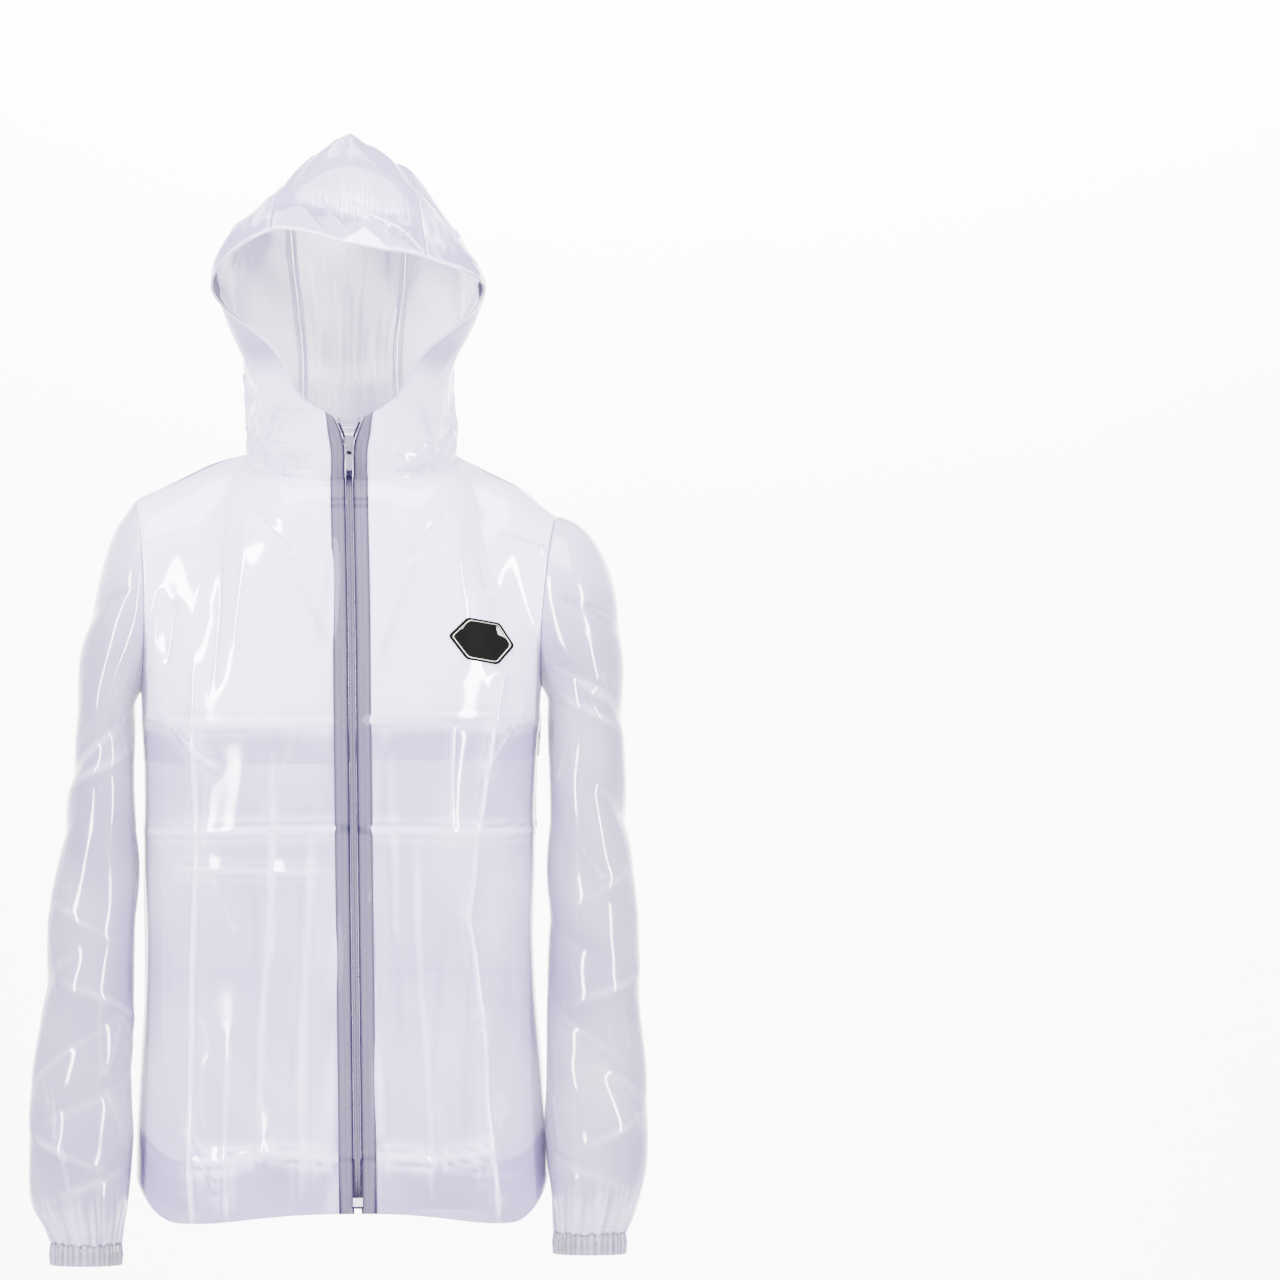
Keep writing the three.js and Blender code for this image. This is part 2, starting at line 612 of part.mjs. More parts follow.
function hoodSheet() {
  const rows = spread(hoodRows);
  const points = rows.map((back) => hoodReaches.map((reach) => hoodPoint(reach, back)));
  const sheet = { ...makeSheet(points, hoodHeart), mirrorFrom: hoodSideColumns + hoodCentreColumns / 2 };
  return pushOut(sheet, (point, i, j) => {
    const quiet = ease((1 - rows[i]) / 0.08);
    return quiet * (hoodGather(hoodReaches[j], rows[i]) + hoodFold(hoodReaches[j], rows[i]));
  });
}

function addHood() {
  const whole = hoodSheet();
  const first = hoodSideColumns;
  const second = first + hoodCentreColumns;
  const last = hoodReaches.length - 1;
  const part = (from, to) => trimSheet(cutSheet(whole, [0, hoodRows], [from, to]), ['bottom'], neckSeamTrim);
  addWall('hood_right', trimSheet(part(0, first), ['end']), plasticFilm);
  addWall('hood_centre', trimSheet(part(first, second), ['start', 'end']), plasticFilm);
  addWall('hood_left', trimSheet(part(second, last), ['start']), plasticFilm);
  const band = cutSheet(whole, [0, hoodHemRows], [0, last]);
  addWall('hood_hem', pushOut(band, -(film + layerGap)), hemFilm, bandFilm);
  return whole;
}

function addBody() {
  const right = frontSheet(-1);
  const left = frontSheet(1);
  const yoke = backYokeSheet();
  const lower = backLowerSheet();
  const sleeves = { right: sleeveSheet(-1), left: sleeveSheet(1) };
  const shareTop = (front, at) => {
    for (let j = acrossCount / 2; j <= acrossCount; j += 1) {
      mitre(front.normals[0][j + 1], yoke.normals[0][at(j)]);
    }
  };
  shareTop(left, (j) => acrossCount - j);
  shareTop(right, (j) => acrossCount + j);
  const armhole = (front, sleeve, backColumn) => {
    for (let i = 0; i <= upperCount; i += 1) {
      const back = yoke.normals[i][backColumn];
      const ring = sleeve.normals[0];
      const behind = (upperCount * 2 - i) % (upperCount * 2);
      mitre(front.normals[i][acrossCount + 1], ring[i]);
      if (i > 0 && i < upperCount) mitre(back, ring[behind]);
      else back.copy(ring[i]);
    }
  };
  armhole(left, sleeves.left, 0);
  armhole(right, sleeves.right, acrossCount * 2);
  addWall('front_right', trimSheet(right, ['top', 'end']), plasticFilm);
  addWall('front_left', trimSheet(left, ['top', 'end']), plasticFilm);
  addWall('back_yoke', trimSheet(yoke, ['top', 'start', 'end']), plasticFilm);
  addWall('back_lower', trimSheet(lower, ['start', 'end']), plasticFilm);
  addWall('sleeve_right', trimSheet(sleeves.right, ['top']), plasticFilm);
  addWall('sleeve_left', trimSheet(sleeves.left, ['top']), plasticFilm);
  addWall('hem_band_front_right', trimSheet(hemBand(right), ['end']), hemFilm, bandFilm);
  addWall('hem_band_front_left', trimSheet(hemBand(left), ['end']), hemFilm, bandFilm);
  addWall('hem_band_back', trimSheet(hemBand(lower), ['start', 'end']), hemFilm, bandFilm);
  return { right, left, yoke };
}

// Zip: tapes and coil halves follow the fronts' edges, made from the panels' own points
function zipEdge(side, front, hood) {
  const hoodEnd = hood.points[0].length - 1;
  const end = side < 0 ? 0 : hoodEnd;
  const next = side < 0 ? 1 : hoodEnd - 1;
  const rows = [];
  const take = (sheet, i, j, k) => {
    const along = sheet.points[i][k].clone().sub(sheet.points[i][j]).normalize();
    rows.push({ at: sheet.points[i][j].clone(), along, normal: sheet.normals[i][j].clone() });
  };
  for (let i = 0; i < hoodRows; i += 1) take(hood, i, end, next);
  for (let i = 0; i < front.points.length; i += 1) take(front, i, 0, 1);
  return rows;
}

function edgeAt(rows, z) {
  const k = Math.min(Math.max(rows.findIndex((row) => row.at.z < z), 1), rows.length - 1);
  const [a, b] = [rows[k - 1], rows[k]];
  const t = (a.at.z - z) / (a.at.z - b.at.z);
  const blend = (key) => a[key].clone().lerp(b[key], t);
  return { at: blend('at'), along: blend('along'), normal: blend('normal') };
}

// A strip beside the edge, from one offset to another along the panel, at a lift above it
function edgeStrip(rows, offsets, lift, thick) {
  const flare = (row) => ease((Math.abs(row.at.x - zipDriftTop) - zipEdgeHalf) / flareSpread);
  const open = (row) => (row.at.z > 0 ? flare(row) : 0);
  const points = rows.map((row) => offsets.map((offset) => row.at.clone()
    .addScaledVector(row.along, typeof offset === 'function' ? offset(open(row)) : offset)
    .addScaledVector(row.normal, lift)));
  const normals = rows.map((row) => offsets.map(() => row.normal.clone()));
  return wallGeometry({ points, normals, wraps: false }, thick);
}

function addZipHalf(side, front, hood) {
  const rows = zipEdge(side, front, hood);
  const inner = (open) => -mix(tapeInside, tapeInside + 1, open);
  const outer = (open) => mix(tapeOutside, tapeOutsideTop, open);
  const name = sideName(side);
  add(`zip_tape_${name}`, edgeStrip(rows, [inner, outer], tapeLift + bandFilm, bandFilm), tapeFilm);
  const between = rows.filter((row) => row.at.z < coil.from && row.at.z > coil.to);
  const coilRows = [edgeAt(rows, coil.from), ...between, edgeAt(rows, coil.to)];
  const coilOut = (open) => inner(open) - coil.gap;
  const coilIn = (open) => inner(open) - coil.gap - coil.wide;
  const straight = coilRows.map((row) => ({
    at: row.at,
    along: new THREE.Vector3(side, 0, 0),
    normal: row.normal.clone().setX(0).normalize(),
  }));
  add(`zip_coil_${name}`, edgeStrip(straight, [coilIn, coilOut], coil.lift, coil.deep), coilPlastic);
  const top = edgeAt(rows, coil.from + layerGap);
  const x = top.at.x - side * (tapeInside + coil.gap + stop.wide / 2 + 0.8);
  const block = new THREE.BoxGeometry(stop.wide, stop.deep, stop.tall);
  block.translate(x, top.at.y - coil.lift + stop.deep / 2, coil.from + layerGap + stop.tall / 2);
  add(`zip_top_stop_${name}`, block, zinc);
}

const wasm = await Manifold();
wasm.setup();

function toSolid(geometry) {
  const bare = geometry.clone();
  bare.deleteAttribute('normal');
  bare.deleteAttribute('uv');
  const merged = mergeVertices(bare, 1e-4);
  return new wasm.Manifold(new wasm.Mesh({
    numProp: 3,
    vertProperties: new Float32Array(merged.attributes.position.array),
    triVerts: new Uint32Array(merged.index.array),
  }));
}

function fromSolid(solid) {
  const { vertProperties, triVerts } = solid.getMesh();
  const geometry = new THREE.BufferGeometry();
  geometry.setAttribute('position', new THREE.BufferAttribute(vertProperties, 3));
  geometry.setIndex(new THREE.BufferAttribute(triVerts, 1));
  return geometry;
}

// An outline in the front view, as thick as given, with its back face at y
function facePlate(outline, thick, y) {
  const shape = new THREE.Shape(outline.map(([x, z]) => new THREE.Vector2(x, z)));
  const plate = new THREE.ExtrudeGeometry(shape, { depth: thick, bevelEnabled: false });
  plate.rotateX(Math.PI / 2);
  plate.translate(0, y, 0);
  return plate;
}

// A whole outline from its right edge, given from the top down
function mirrored(edge) {
  return [...edge, ...edge.slice().reverse().map(([x, z]) => [-x, z])];
}

// A plate narrower at its foot, like the two faces of the slider
function sliderPlate(y) {
  const { wide, tall, plate, z } = slider;
  const top = z + tall / 2;
  const foot = z - tall / 2;
  const half = wide / 2;
  const edge = [[half - 1.4, top], [half, top - 2.4], [half - 0.8, foot + 1], [half - 2, foot]];
  return facePlate(mirrored(edge), plate, y);
}

function boxSolid(wide, deep, tall, x, y, z) {
  const block = new THREE.BoxGeometry(wide, deep, tall);
  block.translate(x, y, z);
  return toSolid(block);
}

// Two plates joined by a post that parts the coil halves, with a bail for the pull tab
function sliderGeometry(y) {
  const frontY = y - slider.frontLift;
  const backY = y - slider.backLift + slider.plate;
  const postTall = 3.2;
  const postDeep = backY - frontY - 0.2;
  const postZ = slider.z + slider.tall / 2 - postTall / 2 - 0.4;
  const legY = frontY - slider.plate - bail.high / 2 + 0.1;
  const legZ = bail.long / 2 - bail.bar / 2;
  const barY = frontY - slider.plate - bail.high + bail.bar / 2;
  return fromSolid(toSolid(sliderPlate(frontY))
    .add(toSolid(sliderPlate(backY)))
    .add(boxSolid(2.2, postDeep, postTall, 0, (frontY + backY - slider.plate) / 2, postZ))
    .add(boxSolid(bail.wide, bail.high + 0.2, bail.bar, 0, legY, slider.z + legZ))
    .add(boxSolid(bail.wide, bail.high + 0.2, bail.bar, 0, legY, slider.z - legZ))
    .add(boxSolid(bail.wide, bail.bar, bail.long, 0, barY, slider.z)));
}

// A long tab with an eye round the bail, hung from its top bar
function tabGeometry(y) {
  const { wide, long, thick, eye, eyeWide, pivotUp, pivotDrop } = tab;
  const pivotY = y - slider.frontLift - slider.plate - pivotUp;
  const top = slider.z - pivotDrop + thick / 2;
  const half = wide / 2;
  const edge = [[half - 1.2, top], [half, top - 1.2], [half, top - eye - 1], [half - 1.3, top - eye - 3.5],
    [half - 1.3, top - long + 2], [half - 2.6, top - long]];
  const outline = mirrored(edge);
  const plate = toSolid(facePlate(outline, thick, pivotY + thick / 2));
  const hole = boxSolid(eyeWide, thick * 3, eye, 0, pivotY, top - thick - eye / 2);
  return fromSolid(plate.subtract(hole));
}

// A patch on a panel: an outline in the front or back view, laid on the panel's own faces
function panelAt(sheet, x, z) {
  const { points, normals } = sheet;
  for (let i = 0; i < points.length - 1; i += 1) {
    for (let j = 0; j < points[0].length - 1; j += 1) {
      const cells = [[[i, j], [i + 1, j], [i + 1, j + 1]], [[i, j], [i + 1, j + 1], [i, j + 1]]];
      for (const cell of cells) {
        const [a, b, c] = cell.map(([r, k]) => points[r][k]);
        const area = (b.x - a.x) * (c.z - a.z) - (c.x - a.x) * (b.z - a.z);
        const second = ((x - a.x) * (c.z - a.z) - (c.x - a.x) * (z - a.z)) / area;
        const third = ((b.x - a.x) * (z - a.z) - (x - a.x) * (b.z - a.z)) / area;
        if (second >= 0 && third >= 0 && second + third <= 1) {
          const shares = [1 - second - third, second, third];
          const sum = (grid) => cell.reduce((total, [r, k], n) => (
            total.addScaledVector(grid[r][k], shares[n])), new THREE.Vector3());
          return { at: sum(points), normal: sum(normals).normalize() };
        }
      }
    }
  }
  throw new Error(`no face of the panel at ${x}, ${z}`);
}

function patchGeometry(sheet, middle, corners, thick) {
  const rings = spread(patchRings).map((share) => (share === 0 ? [middle]
    : corners.map(([x, z]) => [mix(middle[0], x, share), mix(middle[1], z, share)])));
  const count = corners.length;
  const flat = rings.flat().map(([x, z]) => panelAt(sheet, x, z));
  const low = flat.map((spot) => spot.at.clone().addScaledVector(spot.normal, patchLift));
  const high = flat.map((spot) => spot.at.clone().addScaledVector(spot.normal, patchLift + thick));
  const index = [];
  const offset = flat.length;
  const ring = (number, k) => 1 + (number - 1) * count + (k % count);
  const both = (a, b, c) => index.push(a, b, c, a + offset, c + offset, b + offset);
  for (let k = 0; k < count; k += 1) {
    both(0, ring(1, k), ring(1, k + 1));
    for (let n = 1; n < patchRings; n += 1) {
      both(ring(n, k), ring(n + 1, k), ring(n + 1, k + 1));
      both(ring(n, k), ring(n + 1, k + 1), ring(n, k + 1));
    }
    const [a, b] = [ring(patchRings, k), ring(patchRings, k + 1)];
    index.push(a, a + offset, b + offset, a, b + offset, b);
  }
  return closedGeometry([...low, ...high], index);
}

function disc({ x, z, radius }) {
  return spread(discSides).slice(0, -1).map((share) => {
    const turn = share * Math.PI * 2;
    return [x + radius * Math.cos(turn), z + radius * Math.sin(turn)];
  });
}

// An edge split in three, so that a patch bends with the panel under it
function splitEdges(corners, parts = 3) {
  return corners.flatMap(([x, z], k) => {
    const [nextX, nextZ] = corners[(k + 1) % corners.length];
    return spread(parts).slice(0, -1).map((share) => [mix(x, nextX, share), mix(z, nextZ, share)]);
  });
}

function middleOf(corners) {
  const sum = corners.reduce(([a, b], [x, z]) => [a + x, b + z], [0, 0]);
  return sum.map((value) => value / corners.length);
}

const body = addBody();
const hood = addHood();
addZipHalf(-1, body.right, hood);
addZipHalf(1, body.left, hood);
const sliderY = edgeAt(zipEdge(1, body.left, hood), slider.z).at.y;
const hardware = new THREE.Group();
hardware.position.x = zipDriftTop;
coat.add(hardware);
add('zip_slider', sliderGeometry(sliderY), zinc, hardware);
add('pull_tab', tabGeometry(sliderY), zinc, hardware);
const boxEdge = edgeAt(zipEdge(1, body.left, hood), zipBottom + box.tall / 2).at;
const boxBlock = new THREE.BoxGeometry(box.wide, box.deep, box.tall);
boxBlock.translate(boxEdge.x - zipEdgeHalf, boxEdge.y - box.lift - box.deep / 2, zipBottom + box.tall / 2 - 1);
add('zip_box', boxBlock, plasticFilm);
const badgeEdge = splitEdges(badge.corners);
const badgePatch = patchGeometry(body.left, middleOf(badge.corners), badgeEdge, badge.thick);
add('chest_badge', badgePatch, badgeRubber);
const discPatch = (at) => patchGeometry(body.yoke, [at.x, at.z], disc(at), at.thick);
add('neck_dot', discPatch(neckDot), dotInk);
add('flap_snap', discPatch(flapSnap), snapPlastic);
addWall('cuff_right', cuffSheet(-1), elasticFilm);
addWall('cuff_left', cuffSheet(1), elasticFilm);

export default coat;
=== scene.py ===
# %% [markdown]
# A hooded raincoat of clear, milky PVC film, filled out as it is worn.
# The real coat is cut flat from calendered film, and its seams are welded or sewn.
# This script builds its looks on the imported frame: metres, +Z up, the front faces -Y.

# %% Load the frame
import json

import bmesh
import bpy
import numpy as np
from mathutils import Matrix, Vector

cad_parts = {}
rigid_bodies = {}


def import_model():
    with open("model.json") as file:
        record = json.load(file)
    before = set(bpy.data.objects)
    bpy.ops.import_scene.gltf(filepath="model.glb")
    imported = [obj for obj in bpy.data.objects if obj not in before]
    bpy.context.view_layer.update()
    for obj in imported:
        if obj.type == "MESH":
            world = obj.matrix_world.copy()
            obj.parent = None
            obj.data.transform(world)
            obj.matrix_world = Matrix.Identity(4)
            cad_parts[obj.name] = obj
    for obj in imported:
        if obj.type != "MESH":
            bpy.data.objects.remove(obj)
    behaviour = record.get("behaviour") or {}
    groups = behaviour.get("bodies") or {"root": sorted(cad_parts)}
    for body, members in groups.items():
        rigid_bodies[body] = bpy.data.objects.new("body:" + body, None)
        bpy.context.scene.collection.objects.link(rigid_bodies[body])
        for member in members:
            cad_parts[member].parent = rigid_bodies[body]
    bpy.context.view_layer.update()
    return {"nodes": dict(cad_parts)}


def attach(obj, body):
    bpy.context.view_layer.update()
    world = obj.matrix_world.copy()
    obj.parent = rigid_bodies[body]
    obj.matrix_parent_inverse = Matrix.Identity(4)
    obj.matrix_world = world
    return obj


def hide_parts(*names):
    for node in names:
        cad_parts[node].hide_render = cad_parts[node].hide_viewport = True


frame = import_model()

# %% [markdown]
# Every size below is in millimetres, as on the coat's pattern, and is turned into metres
# once, when a mesh is made.
# The smooth curves through short tables are the pattern's own sections.

# %% Numbers and curves
MM = 0.001
FILM = 0.5  # the shown wall of the film
LAYER_GAP = 0.3  # air between two layers
SEAM_TRIM = 0.2  # a panel stops this far short of its seam


def mix(a, b, t):
    """a at t 0 and b at t 1, on a straight line between."""
    return a + (b - a) * t


def ease(t):
    """0 below 0, 1 above 1, and a smooth S between: t squared times (3 - 2t)."""
    k = np.clip(t, 0, 1)
    return k * k * (3 - 2 * k)


def bell(distance, width):
    """A soft bump: e to the power of minus (distance / width) squared."""
    return np.exp(-((distance / width) ** 2))


def curve_at(places, values, at):
    """A cubic through a table's rows; each row's slope is that between its two neighbours."""
    places, values, at = (np.asarray(v, float) for v in (places, values, at))
    if places[-1] < places[0]:
        places, at = -places, -at
    last = len(places) - 1
    rows = np.arange(last + 1)
    before, after = np.maximum(rows - 1, 0), np.minimum(rows + 1, last)
    extra = (1,) * (values.ndim - 1)
    slopes = (values[after] - values[before]) / (places[after] - places[before]).reshape(-1, *extra)
    at = np.clip(at, places[0], places[-1])
    k = np.clip(np.searchsorted(places, at, side="right") - 1, 0, last - 1)
    step = (places[k + 1] - places[k]).reshape(at.shape + extra)
    t = (at - places[k]).reshape(at.shape + extra) / step
    start = values[k] * (1 + 2 * t) * (1 - t) ** 2 + slopes[k] * step * t * (1 - t) ** 2
    end = values[k + 1] * t * t * (3 - 2 * t) + slopes[k + 1] * step * t * t * (t - 1)
    return start + end


def bezier(a, b, c, d, t):
    """A cubic Bezier curve from a to d, drawn towards b and then c."""
    t = t[..., None]
    s = 1 - t
    return a * s**3 + b * 3 * s * s * t + c * 3 * s * t * t + d * t**3


def xyz(x, y, z):
    """Points from three coordinates, each a number or an array."""
    return np.stack(np.broadcast_arrays(x, y, z), axis=-1).astype(float)


print("a smooth step half way:", ease(0.5))

# %% [markdown]
# The body is a tube of two fronts and a back.
# Below the armpits its section is a rounded oblong, given by a row for each height.
# Above them each panel bends in over the shoulder, to the neck seam and the shoulder seam.

# %% The body's form
SIDES = {-1: "right", 1: "left"}
BODY_Z = [-186, -300, -400, -500, -600, -680]
BODY = {
    "right": [190, 188, 186, 189, 194, 198],
    "left": [173, 167, 166, 170, 178, 182],
    "front": [116, 118, 117, 119, 122, 126],
    "back": [112, 104, 100, 106, 114, 120],
}
BODY_POWER = 0.77  # below 1 squares the section
ARMPIT_Z = {-1: -190, 1: -186}
SHOULDER_TIP = {-1: xyz(-196, 4, -18), 1: xyz(187, 4, -31)}
NECK_HALF_WIDTH, NECK_FRONT, NECK_BACK, NECK_RISE = 95, 76, 82, 52
SHOULDER_ANGLE = 97
ZIP_EDGE_HALF = 6  # each front ends this far from the middle of the zip
ZIP_DRIFT_FROM, ZIP_DRIFT_TOP, ZIP_DRIFT_LOW = 40, -1.8, 6.5
HEM_LOW, HEM_SIDE_RISE, HEM_ZIP_RISE = -668, 38, 10
ZIP_ANGLE = np.degrees(np.arcsin(ZIP_EDGE_HALF / NECK_HALF_WIDTH))


def zip_drift(z):
    """The zip's middle drifts sideways in a straight line on its way down."""
    return mix(ZIP_DRIFT_TOP, ZIP_DRIFT_LOW, (ZIP_DRIFT_FROM - z) / (ZIP_DRIFT_FROM - HEM_LOW))


def ring_point(side, face, across, z):
    """A quarter of the body's section: half width times sine, depth times cosine, both squared off."""
    turn = across * np.pi / 2
    half = curve_at(BODY_Z, BODY[SIDES[side]], z)
    depth = curve_at(BODY_Z, BODY["front" if face < 0 else "back"], z)
    edge = ZIP_EDGE_HALF if face < 0 else 0
    x = side * (edge + (half - edge) * np.sin(turn) ** BODY_POWER)
    drift = zip_drift(z) * (1 - across) ** 2 if face < 0 else 0
    return xyz(x + drift, face * depth * np.clip(np.cos(turn), 0, 1) ** BODY_POWER, z)


def neck_point(side, degrees):
    """The neck seam: an oval in plan, and higher at the back."""
    turn = np.radians(degrees)
    depth = np.where(degrees < 90, NECK_FRONT, NECK_BACK)
    drift = np.where(degrees < 90, ZIP_DRIFT_TOP * np.cos(turn), 0)
    rise = NECK_RISE * ((1 - np.cos(turn)) / 2) ** 1.3
    return xyz(side * NECK_HALF_WIDTH * np.sin(turn) + drift, -depth * np.cos(turn), rise)


def top_point(side, face, across):
    """The top edge of a panel: half of it is the neck seam, and half the shoulder seam."""
    start = ZIP_ANGLE if face < 0 else 180
    neck = neck_point(side, mix(start, SHOULDER_ANGLE, np.minimum(across * 2, 1)))
    along = np.clip(across * 2 - 1, 0, 1)[..., None]
    seam = mix(neck_point(side, np.array(float(SHOULDER_ANGLE))), SHOULDER_TIP[side], along)
    seam = seam + xyz(0, 0, 4 * np.sin(np.pi * along[..., 0]))
    return np.where((across <= 0.5)[..., None], neck, seam)


def upper_point(side, face, across, rise):
    """A Bezier curve from the armpit line, at rise 0, to the top edge, at rise 1."""
    start = ring_point(side, face, across, np.full(across.shape, float(ARMPIT_Z[side])))
    end = top_point(side, face, across)
    to_arm = np.clip((across - 0.5) * 2, 0, 1)
    low = start + xyz(-side * 8 * to_arm, face * 88 * to_arm**2.2, 74 - 48 * to_arm**2)
    thirds = [0, 0.5, 1]
    fall = curve_at(thirds, [26, 60, 80] if face < 0 else [34, 58, 82], across)
    drop = curve_at(thirds, [30, 20, 14] if face < 0 else [46, 24, 14], across)
    wide = curve_at(thirds, [0, 20, -8], across)
    high = end + xyz(side * wide, face * fall, -drop)
    return bezier(start, low, high, end, rise)


def body_point(side, face, across, down):
    """down is 0 at the top edge, 1 at the armpit line and 2 at the hem."""
    upper = upper_point(side, face, across, 1 - np.minimum(down, 1))
    hem = HEM_LOW + HEM_SIDE_RISE * ease((across - 0.5) / 0.5)
    if face < 0:
        hem = hem + HEM_ZIP_RISE * (1 - ease(across / 0.45))
    z = mix(ARMPIT_Z[side], hem, np.clip(down - 1, 0, 1))
    return np.where((down < 1)[..., None], upper, ring_point(side, face, across, z))


def body_grid(side, face, across, down):
    """Points of a panel for a list of places across and a list of places down."""
    down_all, across_all = np.meshgrid(down, across, indexing="ij")
    return body_point(side, face, across_all, down_all)


print("hem at the side seam:", body_point(1, -1, np.array(1.0), np.array(2.0)))

# %% [markdown]
# Film that has been folded in its packet keeps the creases, and it buckles where it is bent.
# Each crease is a soft ridge or trough along a line, with its own height and width.
# The listed ones follow the coat; a few small ones between them keep the film alive.

# %% Creases
def normals_of(points, wraps=False):
    """The cross product of the grid's two directions, made one long and turned outward."""
    grid = np.concatenate([points[:, -1:], points, points[:, :1]], axis=1) if wraps else points
    down, across = np.gradient(grid, axis=0), np.gradient(grid, axis=1)
    normals = np.cross(down, across)
    normals = normals[:, 1:-1] if wraps else normals
    length = np.linalg.norm(normals, axis=-1, keepdims=True)
    return normals / np.maximum(length, 1e-9)


def outward(points, wraps=False, middle=(0, 0)):
    """Normals that point away from the upright line through middle, on the whole."""
    normals = normals_of(points, wraps)
    away = points[..., :2] - np.asarray(middle, float)
    return normals * np.sign((normals[..., :2] * away).sum())


def creases(u, v, rows):
    """The sum of all rows' ridges: height times a pointed bell of the distance from a wavy line."""
    total = np.zeros(np.broadcast(u, v).shape)
    for number, (u0, v0, u1, v1, height, width) in enumerate(rows):
        run = np.hypot(u1 - u0, v1 - v0)
        along = ((u - u0) * (u1 - u0) + (v - v0) * (v1 - v0)) / run**2
        wander = 0.035 * run * np.sin(along * 5 + number * 1.7) * np.clip(along * (1 - along), 0, 1)
        off = ((u - u0) * (v1 - v0) - (v - v0) * (u1 - u0)) / run + wander
        profile = np.exp(-(np.sqrt(off**2 + 1.5**2) - 1.5) / width)
        total += height * profile * ease(along * 5 + 0.4) * ease((1 - along) * 5 + 0.4)
    return total


def small_creases(seed, count, u_range, v_range, height=1.2, lean=0.5, runs=(35, 130), widths=(3, 7)):
    """Rows of short ridges at random, mostly upright; lean 1 lets them lie any way."""
    rng = np.random.default_rng(seed)
    u0, v0 = rng.uniform(*u_range, count), rng.uniform(*v_range, count)
    long = rng.uniform(*runs, count)
    tilt = rng.normal(0, lean, count)
    tall = height * rng.uniform(0.5, 1.2, count) * rng.choice([-1, 1, 1], count)
    wide = rng.uniform(*widths, count)
    return np.stack([u0, v0, u0 + long * np.sin(tilt), v0 - long * np.cos(tilt), tall, wide], axis=1)


# Each row is a line in the front or back view, from one end to the other, then height and width
FRONT_CREASES = [
    (-142, -160, -141, -672, 5.0, 6),
    (137, -174, 128, -222, 4.5, 5),
    (128, -220, 113, -313, 5.0, 6),
    (113, -313, 104, -397, 4.5, 6),
    (104, -393, 118, -490, 4.0, 6),
    (118, -486, 131, -665, 4.5, 6),
    (-180, -219, 172, -217, 2.4, 4),
    (-186, -317, 168, -316, 2.6, 4),
    (-160, -351, -24, -352, 1.4, 3),
    (92, -224, 89, -326, 2.2, 4),
    (-115, -27, -124, -188, -4.0, 8),
    (-97, -30, -104, -150, 2.0, 6),
    (113, -26, 121, -104, -4.0, 8),
    (98, -40, 102, -150, 1.8, 6),
    (132, -46, 176, -62, 2.6, 4),
    (-70, -240, -82, -600, -3.4, 12),
    (-36, -330, -44, -650, 2.0, 8),
    (60, -330, 72, -640, -3.2, 12),
    (34, -240, 42, -420, 1.8, 8),
    (-178, -205, -120, -262, 2.4, 6),
    (160, -200, 118, -262, 2.4, 6),
    (-150, -580, -120, -640, 1.4, 6),
    (140, -560, 112, -630, 1.4, 6),
    (-60, -60, -20, -150, 1.6, 8),
    (60, -70, 26, -160, 1.6, 8),
    (-88, -24, -52, -66, -2.0, 8),
    (86, -26, 50, -70, -2.0, 8),
    (-110, -500, -112, -666, 1.8, 5),
    (20, -440, 26, -600, 1.4, 6),
    (160, -330, 150, -520, 1.8, 7),
    (-170, -340, -164, -540, 1.8, 7),
    (-138, -614, -84, -606, 3.2, 4),
    (-78, -602, -16, -610, 2.8, 4),
    (28, -606, 74, -611, 2.8, 4),
    (80, -610, 126, -602, 2.6, 4),
    (-170, -100, -178, -176, 3.2, 4),
    (-158, -110, -166, -170, -3.0, 4),
]
BACK_CREASES = [
    (120, -62, 104, -640, 4.6, 6),
    (-132, -60, -138, -640, 4.6, 6),
    (-2, 20, -8, -230, 2.2, 5),
    (-4, -262, -12, -650, -4.0, 10),
    (64, -5, -112, -6, 2.2, 4),
    (170, -311, -176, -312, 2.6, 4),
    (172, -450, -180, -452, 1.8, 4),
    (60, -50, 74, -220, -3.2, 9),
    (-66, -60, -58, -220, -3.2, 9),
    (34, -280, 46, -520, 2.2, 8),
    (-40, -290, -56, -560, 2.2, 8),
    (84, -380, 70, -640, -3.0, 10),
    (-90, -360, -84, -640, -3.0, 10),
    (150, -90, 112, -190, 2.4, 6),
    (-156, -80, -118, -190, 2.4, 6),
    (30, 34, 78, -40, -2.0, 8),
    (-32, 34, -84, -40, -2.0, 8),
    (160, -280, 150, -560, 2.0, 7),
    (-170, -280, -166, -560, 2.0, 7),
    (20, -560, 28, -664, 1.8, 6),
    (-52, -580, -60, -664, 1.8, 6),
]


def body_relief(side, face, points):
    """How far the film stands out from the body's smooth form, in millimetres."""
    x, z = points[..., 0], points[..., 2]
    rows = FRONT_CREASES if face < 0 else BACK_CREASES
    seed = 11 if face < 0 else 23
    extra = small_creases(seed, 26, (-180, 175), (-620, -40), 0.5, 0.3)
    swell = 1.4 * np.sin(x * 0.045 + face) * np.sin(z * 0.021 + 0.6) + 0.8 * np.sin(x * 0.09 - z * 0.034)
    quiet = ease(np.abs(x - zip_drift(z)) / 26) if face < 0 else 1
    return quiet * (creases(x, z, rows) + creases(x, z, extra) + swell)


print("front creases:", len(FRONT_CREASES), "back creases:", len(BACK_CREASES))
